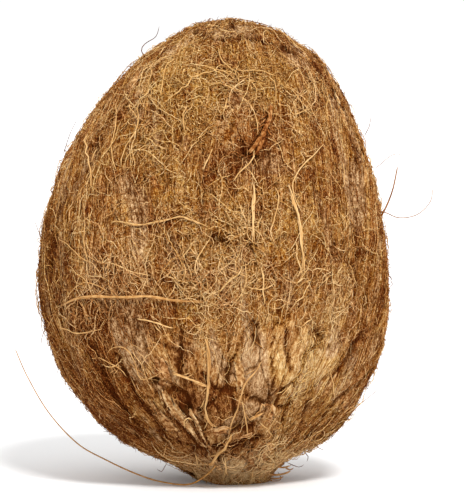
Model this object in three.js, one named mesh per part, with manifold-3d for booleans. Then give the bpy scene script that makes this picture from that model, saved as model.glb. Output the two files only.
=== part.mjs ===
// A mature coconut as it is sold: the hard nut with the last skin of brown husk fibre still on it.
// It grew as one piece, so it is one closed solid. It stands on the flattened tuft of husk that
// covers its stem end. Millimetres, +Z up, the origin on the surface below the middle of the nut.
// The front, which shows the torn plates of husk, faces -Y, and +X is to the right of it.
import * as THREE from "three";
import { mergeVertices } from "three/addons/utils/BufferGeometryUtils.js";
import Module from "manifold-3d";

// Driving dimensions.
const WIDTH = 98.5; // across the nut, left to right
const DEPTH = 96; // across the nut, front to back
const HEIGHT = 130; // from the surface to the crown
const GIRTH_HEIGHT = 61.5; // height of the widest ring above the surface
const STEM_SINK = 1.6; // how far the stem end would reach below the surface if it weren't flattened

// The tuft of husk pressed flat under the stem end: the nut's resting spot.
const TUFT = { across: 5, radius: 11.6, spread: 1.8, spreadHeight: 2.2, height: 7, segments: 40 };

// The outline, as a superellipse quadrant above the widest ring and another below it:
// half-width = (1 - (height fraction) ^ lift) ^ (1 / swell). Each end leans to the right.
const CROWN = { lift: 1.66, swell: 2.0, lean: 6.6 };
const STEM_END = { lift: 2.5, swell: 1.57, lean: 4.2 };

// The three ridges where the husk's segments met, with a shallow groove along one side of each.
const RIDGE_ANGLES = [-15, 105, 225]; // degrees round +Z from +X
const RIDGE = { height: 1.3, halfWidth: 10 }; // height in mm, width in degrees
const GROOVE = { depth: 0.7, halfWidth: 8, offset: -19 };
const RIDGE_END = 0.93; // the ridges die out at this height fraction, close to each end

// Hollows and lumps of the grown surface: a direction, how wide in radians, how high in mm.
const SWELLINGS = [
  { azimuth: -15, elevation: 52, width: 0.13, height: 1.1 }, // shoulder of the right-hand ridge
  { azimuth: -70, elevation: 78, width: 0.3, height: -0.9 }, // hollow below the crown's lip
  { azimuth: -66, elevation: 36, width: 0.16, height: -1.0 }, // torn crease on the front
  { azimuth: -150, elevation: -8, width: 0.4, height: 0.8 }, // full cheek on the left
  { azimuth: -8, elevation: -24, width: 0.35, height: 1.2 }, // full cheek on the lower right
  { azimuth: 60, elevation: 20, width: 0.45, height: 0.7 },
  { azimuth: 150, elevation: -30, width: 0.35, height: -0.8 },
];
const RIPPLE = 0.28; // fine unevenness all over

const DETAIL = 13; // subdivisions of the starting icosahedron
const HUSK_COLOUR = 0x9c6e3d;

const degrees = (angle) => (angle * Math.PI) / 180;

/** A bump of height 1 at 0 that has nearly died away at twice its half-width. */
const bump = (distance, halfWidth) => Math.exp(-((distance / halfWidth) ** 2));

/** The shortest turn from one direction round +Z to another, in degrees. */
const turn = (from, to) => ((((to - from) % 360) + 540) % 360) - 180;

/** The end that a height fraction belongs to, from -1 (stem end) to 1 (crown). */
const endAt = (rise) => (rise > 0 ? CROWN : STEM_END);

/** Half-width of the outline, from 0 to 1, at a height fraction. */
function outline(rise) {
  const { lift, swell } = endAt(rise);
  return Math.max(0, 1 - Math.abs(rise) ** lift) ** (1 / swell);
}

/** How far the ridges and their grooves lift the surface at an angle round +Z, in mm. */
function ridges(angle, rise) {
  const fade = Math.max(0, 1 - (rise / RIDGE_END) ** 4);
  const lift = RIDGE_ANGLES.reduce((sum, ridge) => {
    const crest = RIDGE.height * bump(turn(ridge, angle), RIDGE.halfWidth);
    const groove = GROOVE.depth * bump(turn(ridge + GROOVE.offset, angle), GROOVE.halfWidth);
    return sum + crest - groove;
  }, 0);
  return lift * fade;
}

/** The swellings and the fine ripple, in mm, in the direction of a unit vector. */
function unevenness(direction) {
  const swelling = SWELLINGS.reduce((sum, { azimuth, elevation, width, height }) => {
    const middle = new THREE.Vector3().setFromSphericalCoords(
      1,
      degrees(90 - elevation),
      degrees(azimuth),
    );
    // Spherical coordinates are measured round +Y from +Z, so the axes are renamed.
    const centre = new THREE.Vector3(middle.z, middle.x, middle.y);
    return sum + height * bump(direction.angleTo(centre), width);
  }, 0);
  const { x, y, z } = direction;
  const ripple =
    Math.sin(7.1 * x + 3.3 * z) * Math.cos(6.2 * y - 1.7 * z) +
    0.6 * Math.sin(13.7 * y + 5.1 * x) * Math.cos(9.4 * z + 2.2 * x);
  return swelling + RIPPLE * ripple;
}

/** The grown nut before its stem end is flattened: a fine icosahedron moved out to the outline. */
function grownNut() {
  const nut = new THREE.IcosahedronGeometry(1, DETAIL);
  const places = nut.getAttribute("position");
  const direction = new THREE.Vector3();
  const lowerReach = GIRTH_HEIGHT + STEM_SINK;
  const upperReach = HEIGHT - GIRTH_HEIGHT;
  for (let i = 0; i < places.count; i += 1) {
    direction.fromBufferAttribute(places, i).normalize();
    const rise = THREE.MathUtils.clamp(direction.z, -1, 1);
    const spoke = Math.hypot(direction.x, direction.y);
    const width = outline(rise);
    const [across, along] = spoke > 1e-9 ? [direction.x / spoke, direction.y / spoke] : [0, 0];
    const angle = THREE.MathUtils.radToDeg(Math.atan2(along, across));
    const lift = ridges(angle, rise) * spoke + unevenness(direction);
    places.setXYZ(
      i,
      ((WIDTH / 2) * width + lift * spoke) * across + endAt(rise).lean * rise * rise,
      ((DEPTH / 2) * width + lift * spoke) * along,
      GIRTH_HEIGHT + (rise > 0 ? upperReach : lowerReach) * rise + lift * rise,
    );
  }
  return nut;
}

/** A geometry as a manifold-3d solid. */
function solidFrom(wasm, geometry) {
  const bare = new THREE.BufferGeometry();
  bare.setAttribute("position", geometry.getAttribute("position").clone());
  if (geometry.index) bare.setIndex(geometry.index.clone());
  const merged = mergeVertices(bare, 1e-4);
  return new wasm.Manifold(
    new wasm.Mesh({
      numProp: 3,
      vertProperties: new Float32Array(merged.getAttribute("position").array),
      triVerts: new Uint32Array(merged.index.array),
    }),
  );
}

/** A manifold-3d solid back as a geometry. */
function geometryFrom(solid) {
  const { vertProperties, triVerts } = solid.getMesh();
  const geometry = new THREE.BufferGeometry();
  geometry.setAttribute("position", new THREE.BufferAttribute(vertProperties, 3));
  geometry.setIndex(new THREE.BufferAttribute(triVerts, 1));
  geometry.computeVertexNormals();
  return geometry;
}

/** The tuft, a low pad that spreads a little above the surface and ends inside the nut. */
function tuft() {
  const wide = TUFT.radius + TUFT.spread;
  const profile = [
    new THREE.Vector2(0, 0),
    new THREE.Vector2(TUFT.radius, 0),
    new THREE.Vector2(wide, TUFT.spreadHeight),
    new THREE.Vector2(TUFT.radius, TUFT.height),
    new THREE.Vector2(0, TUFT.height),
  ];
  // A lathe turns round +Y, so it is stood up along +Z.
  const pad = new THREE.LatheGeometry(profile, TUFT.segments).rotateX(Math.PI / 2);
  return pad.translate(TUFT.across, 0, 0);
}

/** The nut with its stem end cut off level at the surface and the flattened tuft joined to it. */
function flattenedNut(wasm) {
  const below = new THREE.BoxGeometry(2 * WIDTH, 2 * DEPTH, HEIGHT).translate(0, 0, -HEIGHT / 2);
  const nut = solidFrom(wasm, grownNut()).subtract(solidFrom(wasm, below));
  return geometryFrom(nut.add(solidFrom(wasm, tuft())));
}

/** Moves a geometry over the origin and trues its box up to the driving dimensions. */
function trueUp(geometry) {
  geometry.computeBoundingBox();
  const size = geometry.boundingBox.getSize(new THREE.Vector3());
  const centre = geometry.boundingBox.getCenter(new THREE.Vector3());
  return geometry
    .translate(-centre.x, -centre.y, 0)
    .scale(WIDTH / size.x, DEPTH / size.y, HEIGHT / size.z);
}

const wasm = await Module();
wasm.setup();

const husk = new THREE.MeshStandardMaterial({ color: HUSK_COLOUR, roughness: 0.95, metalness: 0 });
const coconut = new THREE.Mesh(trueUp(flattenedNut(wasm)), husk);
coconut.name = "coconut";

const part = new THREE.Group();
part.add(coconut);

export default part;
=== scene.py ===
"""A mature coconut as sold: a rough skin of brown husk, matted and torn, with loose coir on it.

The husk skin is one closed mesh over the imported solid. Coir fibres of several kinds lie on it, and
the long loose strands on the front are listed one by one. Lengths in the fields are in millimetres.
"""

import functools
import itertools
import logging
import math
from dataclasses import dataclass, field
from enum import Enum
from typing import Any, Iterable, Sequence

import bmesh
import bpy
import numpy as np
from bmesh.types import BMesh
from bpy.types import Material, Mesh, Node, NodeSocket, NodeTree, Object
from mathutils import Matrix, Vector
from mathutils.bvhtree import BVHTree


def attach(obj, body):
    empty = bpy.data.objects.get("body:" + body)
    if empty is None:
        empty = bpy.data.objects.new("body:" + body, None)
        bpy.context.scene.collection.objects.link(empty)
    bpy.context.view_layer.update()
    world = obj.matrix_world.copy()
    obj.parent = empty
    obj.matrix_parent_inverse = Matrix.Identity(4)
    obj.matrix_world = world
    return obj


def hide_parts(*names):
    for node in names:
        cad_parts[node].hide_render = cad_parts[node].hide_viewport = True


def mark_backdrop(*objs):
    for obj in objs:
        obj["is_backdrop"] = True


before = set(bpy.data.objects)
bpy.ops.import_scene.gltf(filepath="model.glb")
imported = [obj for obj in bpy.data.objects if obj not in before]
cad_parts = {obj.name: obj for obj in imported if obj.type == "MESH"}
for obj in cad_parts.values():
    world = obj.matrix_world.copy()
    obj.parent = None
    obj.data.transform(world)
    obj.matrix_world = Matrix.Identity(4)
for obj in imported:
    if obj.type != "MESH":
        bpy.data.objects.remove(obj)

Array = np.ndarray
Draw = np.random.Generator
Pair = tuple[float, float]
Triple = tuple[float, float, float]
Route = tuple[Pair, ...]

MM = 0.001
MERGE = 1e-6  # metres between points that are one
UP = np.array([0.0, 0.0, 1.0])
ACROSS = np.array([1.0, 0.0, 0.0])
FRONT = np.array([0.0, -1.0, 0.0])
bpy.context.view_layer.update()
FIBRE_MAP = "OFBake"  # a fibre's map: tone across, hue up
MAP_SPAN = 0.96  # how much of the map the tones and hues take up
MAP_CORNERS = ((0, 0), (0.01, 0), (0.01, 0.01), (0, 0.01))  # a face's own patch of the map
log = logging.getLogger("coconut")


class Slot(Enum):
    """The record's material slots."""

    HUSK = "husk"


class Share(Enum):
    """The layers painted over the husk skin that say where each kind of fibre grows."""

    MAT = "mat_share"
    GRAIN = "grain_share"
    CURL = "curl_share"
    FUZZ = "fuzz_share"
    FRINGE = "fringe_share"
    STRAW = "straw_share"


class Mask(Enum):
    """The layers painted over the husk skin that its own finish reads."""

    # tone that carries painted light and shade as well as the husk's own lighter and darker places
    LIGHT = "light"
    GOLD = "gold"
    # depth below the neighbours, which the finish and the fibres turn into painted shade
    HOLLOW = "hollow"
    MATTED = "matted"
    WORN = "worn"
    PLATED = "plated"


class Lumps(Enum):
    """The husk's unevennesses in space: each one's own seed, and the size of its lumps."""

    WANDER = (0, 17.0)
    SLOW = (1, 24.0)
    PATCHY = (2, (9.0, 9.0, 15.0))
    RAGGED = (3, 4.0)
    BROAD = (6, 11.0)
    FUZZ = (7, 1.9)
    FINE_FUZZ = (8, 1.1)
    GAPS = (12, 8.0)
    WARP_ACROSS = (13, 5.0)
    WARP_DEEP = (14, 5.0)
    WARP_UP = (15, 5.0)
    TORN = (16, 2.2)
    PITS = (17, (2.1, 2.1, 2.8))
    SWAY = (18, 13.0)
    BLOTS = (20, 4.5)
    TUFTS = (21, 6.0)
    CLUMPS = (22, 5.0)


class Streaks(Enum):
    """Its unevennesses along the grain: each one's own seed, how many to a radius, and a shift."""

    RIDGES = (9, 24.0, 0.0)
    SEAMS = (10, 17.0, 5.0)
    STRIPS = (19, 10.0, 0.0)


GRAIN_PLACE = "grain_place"
GRAIN_WAY = "grain_way"


# ---------------- small helpers


def smooth_step(low: float, high: float, value: Array) -> Array:
    """Eases from 0 at low to 1 at high.

    Args:
        low: Where the step starts.
        high: Where it ends, above or below low.
        value: The values to ease.

    Returns:
        The eased values, from 0 to 1.
    """
    share = np.clip((value - low) / (high - low), 0.0, 1.0)
    return share * share * (3.0 - 2.0 * share)


def unit(vectors: Array) -> Array:
    """Each row of vectors at length 1."""
    return vectors / np.maximum(np.linalg.norm(vectors, axis=-1, keepdims=True), 1e-12)


@dataclass(frozen=True)
class Sight:
    """Where the nut is looked at from. Places on its front are given as they are seen from here."""

    aim: Triple = (5.2, 0.0, 65.1)
    distance: float = 1000.0
    elevation: float = 3.0

    def eye(self) -> Array:
        """The viewing point, in millimetres."""
        tilt = math.radians(self.elevation)
        return np.array(self.aim) + self.distance * np.array([0.0, -math.cos(tilt), math.sin(tilt)])

    def seen(self, places: Array) -> Array:
        """Where places show on the upright plane through the nut's axis.

        Args:
            places: Rows of three numbers, in millimetres.

        Returns:
            Rows of two numbers: across and up.
        """
        eye = self.eye()
        share = eye[1] / (eye[1] - places[:, 1:2])
        return (eye + share * (places - eye))[:, [0, 2]]


class Unevenness:
    """Smooth random unevenness in space, from -1 to 1, the same each run."""

    LATTICE = 256
    GAIN = 1.7

    def __init__(self, seed: int) -> None:
        """Draws the lattice.

        Args:
            seed: The lattice's seed.
        """
        draw = np.random.default_rng(seed)
        self.order = draw.permutation(self.LATTICE)
        self.slopes = unit(draw.normal(size=(self.LATTICE, 3)))

    def at(self, places: Array) -> Array:
        """The unevenness at each place.

        Args:
            places: Rows of three numbers, in lattice cells.

        Returns:
            One value for each row.
        """
        cell = np.floor(places).astype(int)
        inside = places - cell
        ease = inside**3 * (inside * (inside * 6.0 - 15.0) + 10.0)
        total = np.zeros(len(places))
        for corner in itertools.product((0, 1), repeat=3):
            step = np.array(corner)
            x, y, z = (cell + step).T
            index = self.order[x % self.LATTICE] + y
            index = self.order[index % self.LATTICE] + z
            slope = self.slopes[self.order[index % self.LATTICE]]
            share = np.prod(np.where(step == 1, ease, 1.0 - ease), axis=1)
            total += share * np.sum(slope * (inside - step), axis=1)
        return total * self.GAIN


class Bench:
    """Adds nodes to a node tree and joins them."""

    def __init__(self, tree: NodeTree) -> None:
        """Keeps the tree that the nodes go in."""
        self.tree = tree

    def add(self, kind: str, inputs: dict[Any, Any] | None = None, **settings: Any) -> Node:
        """Adds one node.

        Args:
            kind: Blender's name for the node's type.
            inputs: For each socket name or number, its value or the socket that feeds it.
            **settings: The node's own properties.

        Returns:
            The node.
        """
        node = self.tree.nodes.new(kind)
        for name, value in settings.items():
            setattr(node, name, value)
        for key, value in (inputs or {}).items():
            self.feed(self.socket(node, key), value)
        return node

    def socket(self, node: Node, key: Any) -> NodeSocket:
        """Finds one of a node's inputs.

        Args:
            node: The node.
            key: The name of an input that is in use, or an input's number.

        Returns:
            The input.
        """
        if isinstance(key, int):
            return node.inputs[key]
        return next(s for s in node.inputs if s.name == key and s.enabled)

    def feed(self, socket: NodeSocket, value: Any) -> None:
        """Joins or sets a socket.

        Args:
            socket: The input.
            value: Another node's output, or a plain value.
        """
        if isinstance(value, NodeSocket):
            self.tree.links.new(value, socket)
        else:
            socket.default_value = value

    def out(self, node: Node, name: str | None = None) -> NodeSocket:
        """A node's first output in use, or the one with that name."""
        return next(s for s in node.outputs if s.enabled and (name is None or s.name == name))

    def math(self, operation: str, *values: Any) -> NodeSocket:
        """A Math node's result."""
        return self.out(self.add("ShaderNodeMath", dict(enumerate(values)), operation=operation))

    def vector(self, operation: str, *values: Any) -> NodeSocket:
        """A Vector Math node's result, where it is a vector."""
        node = self.add("ShaderNodeVectorMath", dict(enumerate(values)), operation=operation)
        return node.outputs["Vector"]

    def scaled(self, vector: Any, factor: Any) -> NodeSocket:
        """A vector times a number."""
        node = self.add("ShaderNodeVectorMath", {0: vector, "Scale": factor}, operation="SCALE")
        return node.outputs["Vector"]

    def dot(self, a: Any, b: Any) -> NodeSocket:
        """The dot product of two vectors."""
        node = self.add("ShaderNodeVectorMath", {0: a, 1: b}, operation="DOT_PRODUCT")
        return node.outputs["Value"]

    def product(self, *values: Any) -> NodeSocket:
        """Two or more numbers multiplied, from the left."""
        return functools.reduce(functools.partial(self.math, "MULTIPLY"), values)

    def less(self, value: Any, taken: Any) -> NodeSocket:
        """One number less another."""
        return self.math("SUBTRACT", value, taken)

    def total(self, *values: Any) -> NodeSocket:
        """Two or more numbers added, from the left."""
        return functools.reduce(functools.partial(self.math, "ADD"), values)

    def ranged(
        self, value: Any, low: float, high: float, to_low: float, to_high: float
    ) -> NodeSocket:
        """A value moved from one range to another and held there."""
        sockets = {0: value, 1: low, 2: high, 3: to_low, 4: to_high}
        return self.out(self.add("ShaderNodeMapRange", sockets))

    def noise(self, place: Any, scale: float, detail: float) -> Node:
        """A Noise Texture node at a place."""
        return self.add("ShaderNodeTexNoise", {"Vector": place, "Scale": scale, "Detail": detail})

    def blend(self, share: Any, a: Any, b: Any, kind: str = "MIX") -> NodeSocket:
        """Two colours mixed."""
        node = self.add("ShaderNodeMix", {0: share, 6: a, 7: b}, data_type="RGBA", blend_type=kind)
        return node.outputs[2]


# ---------------- finishes


@dataclass(frozen=True)
class CoirColours:
    """The colours that husk and coir take, from shadow brown to bleached straw.

    A tone of 0 is the darkest and 1 the lightest. A hue of 0 is red-brown and 1 golden, and wear
    greys the colour.
    """

    tones: tuple[float, ...] = (0.0, 0.25, 0.5, 0.75, 1.0)
    red_brown: tuple[Triple, ...] = (
        (0.07, 0.01, 0.0),
        (0.195, 0.05, 0.004),
        (0.36, 0.138, 0.032),
        (0.535, 0.28, 0.1),
        (0.715, 0.465, 0.225),
    )
    golden: tuple[Triple, ...] = (
        (0.09, 0.018, 0.0),
        (0.24, 0.085, 0.004),
        (0.41, 0.19, 0.03),
        (0.59, 0.345, 0.098),
        (0.76, 0.53, 0.235),
    )
    weathered: tuple[Triple, ...] = (
        (0.08, 0.024, 0.004),
        (0.215, 0.095, 0.03),
        (0.37, 0.2, 0.088),
        (0.535, 0.325, 0.16),
        (0.715, 0.495, 0.275),
    )

    def ramp(self, bench: Bench, tone: Any, colours: Sequence[Triple]) -> Any:
        """A colour ramp over the tones.

        Args:
            bench: The tree to build in.
            tone: The socket that picks the tone.
            colours: One colour for each tone.

        Returns:
            The colour socket.
        """
        node = bench.add("ShaderNodeValToRGB", {"Fac": tone})
        elements = node.color_ramp.elements
        while len(elements) < len(self.tones):
            elements.new(0.5)
        for element, place, colour in zip(elements, self.tones, colours):
            element.position = place
            element.color = (*colour, 1.0)
        return node.outputs["Color"]

    def group(self) -> NodeTree:
        """The shader node group that turns a tone, a hue and wear into a colour, built once.

        Returns:
            The group.
        """
        name = "coir_colour"
        if name in bpy.data.node_groups:
            return bpy.data.node_groups[name]
        tree = bpy.data.node_groups.new(name, "ShaderNodeTree")
        for socket in ("Tone", "Hue", "Wear"):
            tree.interface.new_socket(socket, in_out="INPUT", socket_type="NodeSocketFloat")
        tree.interface.new_socket("Color", in_out="OUTPUT", socket_type="NodeSocketColor")
        bench = Bench(tree)
        start = bench.add("NodeGroupInput").outputs
        red, gold, grey = (
            self.ramp(bench, start["Tone"], colours)
            for colours in (self.red_brown, self.golden, self.weathered)
        )
        colour = bench.blend(start["Wear"], bench.blend(start["Hue"], red, gold), grey)
        bench.add("NodeGroupOutput", {"Color": colour})
        return tree


def blank_material(name: str, roughness: float) -> tuple[Material, Bench, Node]:
    """A material with only its Principled shader.

    Args:
        name: The material's name.
        roughness: The shader's roughness.

    Returns:
        The material, a bench on its tree, and the shader.
    """
    material = bpy.data.materials.new(name)
    material.use_nodes = True
    bench = Bench(material.node_tree)
    shader = material.node_tree.nodes["Principled BSDF"]
    shader.inputs["Roughness"].default_value = roughness
    return material, bench, shader


def coir_colour(bench: Bench, tone: Any, hue: Any, wear: Any) -> NodeSocket:
    """The shared colour group placed in a material.

    Args:
        bench: The material's bench.
        tone: The tone, a value or a socket.
        hue: The hue, a value or a socket.
        wear: How weathered it is, a value or a socket.

    Returns:
        The colour socket.
    """
    node = bench.add("ShaderNodeGroup", node_tree=CoirColours().group())
    for name, value in (("Tone", tone), ("Hue", hue), ("Wear", wear)):
        bench.feed(node.inputs[name], value)
    return node.outputs["Color"]


@dataclass(frozen=True)
class CoirFinish:
    """Dry coir fibre, whose tone and hue are in its map."""

    name: str
    roughness: float = 0.7
    specular: float = 0.06
    wear: float = 0.15
    fleck: float = 0.0  # how far its flecks move the tone
    fleck_scale: float = 1100.0
    fleck_band: Pair = (0.4, 0.6)  # the noise from its darkest to its lightest fleck

    def material(self) -> Material:
        """Builds the material.

        Returns:
            The material.
        """
        material, bench, shader = blank_material(self.name, self.roughness)
        shader.inputs["Specular IOR Level"].default_value = self.specular
        place = bench.add("ShaderNodeUVMap", uv_map=FIBRE_MAP)
        parts = bench.add("ShaderNodeSeparateXYZ", {0: place.outputs["UV"]})
        tone = parts.outputs["X"]
        if self.fleck > 0.0:
            here = bench.add("ShaderNodeTexCoord").outputs["Object"]
            noise = bench.noise(here, self.fleck_scale, 2.0).outputs["Fac"]
            tone = bench.total(tone, bench.ranged(noise, *self.fleck_band, -self.fleck, self.fleck))
        colour = coir_colour(bench, tone, parts.outputs["Y"], self.wear)
        bench.feed(shader.inputs["Base Color"], colour)
        return material


@dataclass(frozen=True)
class HuskFinish:
    """The husk skin: streaked along its grain, crumbly where it is matted, cracked where plated.

    A band is the range of a noise from its darkest to its lightest, and tones or hues are what
    that range adds to the colour's tone or gives as its hue.
    """

    name: str = "husk_skin"
    roughness: float = 0.85
    specular: float = 0.04
    base_tone: float = 0.49
    # painted shade: how much darker the skin is under and between the mat's crumbs
    mat_painted_shade: float = 0.10
    # painted shade: how much darker the skin is in its hollows
    hollow_painted_shade: float = 0.44
    crack_shade: float = 0.40
    streak_scale: float = 60.0
    fine_streak_scale: float = 190.0
    streak_band: Pair = (0.40, 0.60)
    streak_tones: Pair = (-0.38, 0.30)
    matted_streak: float = 0.35  # how much of the streaks shows on mats
    plated_streak: float = 0.8
    crumb_scale: float = 850.0
    speckle_scale: float = 2300.0
    crumb_band: Pair = (0.41, 0.59)
    crumb_tones: Pair = (-0.44, 0.36)
    bare_crumb: float = 0.6  # how much of the crumbling shows off the mats
    plated_crumb: float = 0.5
    blotch_scale: float = 110.0
    blotch_band: Pair = (0.3, 0.7)
    blotch_tones: Pair = (-0.1, 0.1)
    hue_band: Pair = (0.35, 0.65)
    hues: Pair = (0.2, 0.8)
    flake_scale: float = 6.0  # flakes to a radius, along the grain places
    flake_stretch: Triple = (1.0, 1.0, 4.0)
    flake_warp: float = 0.06
    crack_width: float = 0.05  # as a share of a flake
    bump_depth: float = 0.4  # mm

    def mask(self, bench: Bench, layer: Mask) -> NodeSocket:
        """A painted layer's value."""
        return bench.add("ShaderNodeAttribute", attribute_name=layer.value).outputs["Fac"]

    def shown(self, bench: Bench, pattern: Any, mask: Any, off: float, on: float) -> NodeSocket:
        """A pattern at one strength off a mask and at another on it."""
        return bench.product(pattern, bench.ranged(mask, 0.0, 1.0, off, on))

    def cracks(self, bench: Bench, grain: Any) -> NodeSocket:
        """Fine cracks between long flakes, 1 in a crack.

        Args:
            bench: The material's bench.
            grain: The socket of the place along the grain.

        Returns:
            The mask socket.
        """
        long = bench.vector("MULTIPLY", grain, self.flake_stretch)
        warp = bench.noise(long, 2.0 * self.flake_scale, 3.0).outputs["Color"]
        bent = bench.vector("ADD", long, bench.scaled(warp, self.flake_warp))
        sockets = {"Vector": bent, "Scale": self.flake_scale}
        flakes = bench.add("ShaderNodeTexVoronoi", sockets, feature="DISTANCE_TO_EDGE")
        thin = bench.ranged(flakes.outputs["Distance"], 0.0, self.crack_width, 1.0, 0.0)
        return bench.product(thin, self.mask(bench, Mask.PLATED))

    def material(self) -> Material:
        """Builds the material.

        Returns:
            The material.
        """
        material, bench, shader = blank_material(self.name, self.roughness)
        shader.inputs["Specular IOR Level"].default_value = self.specular
        grain = bench.add("ShaderNodeAttribute", attribute_name=GRAIN_PLACE).outputs["Vector"]
        here = bench.add("ShaderNodeTexCoord").outputs["Object"]
        streak, fine, crumb, speckle, blotch = (
            bench.noise(place, scale, detail).outputs["Fac"]
            for place, scale, detail in (
                (grain, self.streak_scale, 3.0),
                (grain, self.fine_streak_scale, 2.0),
                (here, self.crumb_scale, 2.0),
                (here, self.speckle_scale, 1.0),
                (here, self.blotch_scale, 3.0),
            )
        )
        light, gold, hollow, matted, worn, plated = (self.mask(bench, layer) for layer in Mask)
        crack = self.cracks(bench, grain)

        streaky = bench.product(bench.total(streak, fine), 0.5)
        streaky = bench.ranged(streaky, *self.streak_band, *self.streak_tones)
        streaky = self.shown(bench, streaky, matted, 1.0, self.matted_streak)
        streaky = self.shown(bench, streaky, plated, 1.0, self.plated_streak)
        crumbly = bench.product(bench.total(crumb, speckle), 0.5)
        crumbly = bench.ranged(crumbly, *self.crumb_band, *self.crumb_tones)
        crumbly = self.shown(bench, crumbly, matted, self.bare_crumb, 1.0)
        crumbly = self.shown(bench, crumbly, plated, 1.0, self.plated_crumb)

        blotchy = bench.ranged(blotch, *self.blotch_band, *self.blotch_tones)
        # the painted tone layer brings in painted light and shade
        tone = bench.total(streaky, crumbly, self.base_tone, blotchy, light)
        # painted shade in the hollows and under the mats; darker in the plates' cracks
        for share, shade in (
            (hollow, self.hollow_painted_shade), (matted, self.mat_painted_shade), (crack, self.crack_shade)
        ):
            tone = bench.less(tone, bench.product(share, shade))
        hue = bench.total(bench.ranged(blotch, *self.hue_band, *self.hues), gold)
        bench.feed(shader.inputs["Base Color"], coir_colour(bench, tone, hue, worn))

        height = bench.less(bench.total(streaky, crumbly), crack)
        sockets = {"Strength": 1.0, "Distance": self.bump_depth * MM, "Height": height}
        bump = bench.add("ShaderNodeBump", sockets)
        bench.feed(shader.inputs["Normal"], bump.outputs["Normal"])
        return material


# ---------------- the husk skin


@dataclass(frozen=True)
class Patch:
    """A soft-edged oval on the front of the nut, as it is seen: across and up."""

    across: float
    up: float
    wide: float
    tall: float
    amount: float = 1.0

    def over(self, seen: Array) -> Array:
        """How much of the patch lies over each place, as it is seen."""
        off = ((seen[:, 0] - self.across) / self.wide) ** 2 + ((seen[:, 1] - self.up) / self.tall) ** 2
        return self.amount * np.exp(-off)


@dataclass(frozen=True)
class Tear:
    """A groove, crack or torn gash that follows a route over the surface."""

    route: Route
    width: float
    depth: float
    lip: float = 0.15
    dark: float = 0.35


def distance_to_route(places: Array, route: Array) -> Array:
    """Each place's distance to a line through the route's points.

    Args:
        places: Rows of three numbers.
        route: The route's points, in the same units.

    Returns:
        One distance for each place.
    """
    best = np.full(len(places), np.inf)
    for start, end in zip(route[:-1], route[1:]):
        step = end - start
        share = np.clip((places - start) @ step / max(step @ step, 1e-12), 0.0, 1.0)
        best = np.minimum(best, np.linalg.norm(places - start - share[:, None] * step, axis=1))
    return best


def placed(name: str, data: Any) -> Object:
    """A new object in the scene, at the origin.

    Args:
        name: Its name.
        data: Its mesh, camera or light.

    Returns:
        The object.
    """
    made = bpy.data.objects.new(name, data)
    bpy.context.scene.collection.objects.link(made)
    return made


def packed_solid(node: str) -> BMesh:
    """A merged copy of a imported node's mesh.

    Args:
        node: The node's name.

    Returns:
        The copy, for the caller to free.
    """
    shape = bmesh.new()
    shape.from_mesh(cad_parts[node].data)
    bmesh.ops.remove_doubles(shape, verts=shape.verts, dist=MERGE)
    return shape


def finished(name: str, shape: BMesh, finish: Material) -> Object:
    """Turns a shape into a dressed piece.

    Args:
        name: The piece's name.
        shape: Its mesh, which is freed.
        finish: Its material.

    Returns:
        The piece.
    """
    bmesh.ops.recalc_face_normals(shape, faces=shape.faces)
    mesh = bpy.data.meshes.new(name)
    shape.to_mesh(mesh)
    shape.free()
    mesh.uv_layers[0].name = FIBRE_MAP
    mesh.materials.append(finish)
    return placed(name, mesh)


def on_map(share: float) -> float:
    """A tone or a hue held inside the map."""
    return min(max(share, 0.01), 0.98)


def curve_through(points: Array, spacing: float) -> Array:
    """A smooth curve through points, sampled about evenly.

    Args:
        points: Two or more rows of coordinates.
        spacing: The distance between samples, in the same units.

    Returns:
        The samples, the first and last points included.
    """
    padded = np.vstack([2 * points[0] - points[1], points, 2 * points[-1] - points[-2]])
    samples = []
    for a, b, c, d in zip(padded, padded[1:], padded[2:], padded[3:]):
        count = max(2, int(np.linalg.norm(c - b) / spacing))
        t = np.linspace(0.0, 1.0, count, endpoint=False)[:, None]
        curve = 2 * b + (c - a) * t + (2 * a - 5 * b + 4 * c - d) * t**2 + (3 * b - a - 3 * c + d) * t**3
        samples.append(curve / 2)
    return np.vstack([*samples, points[-1:]])


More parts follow.
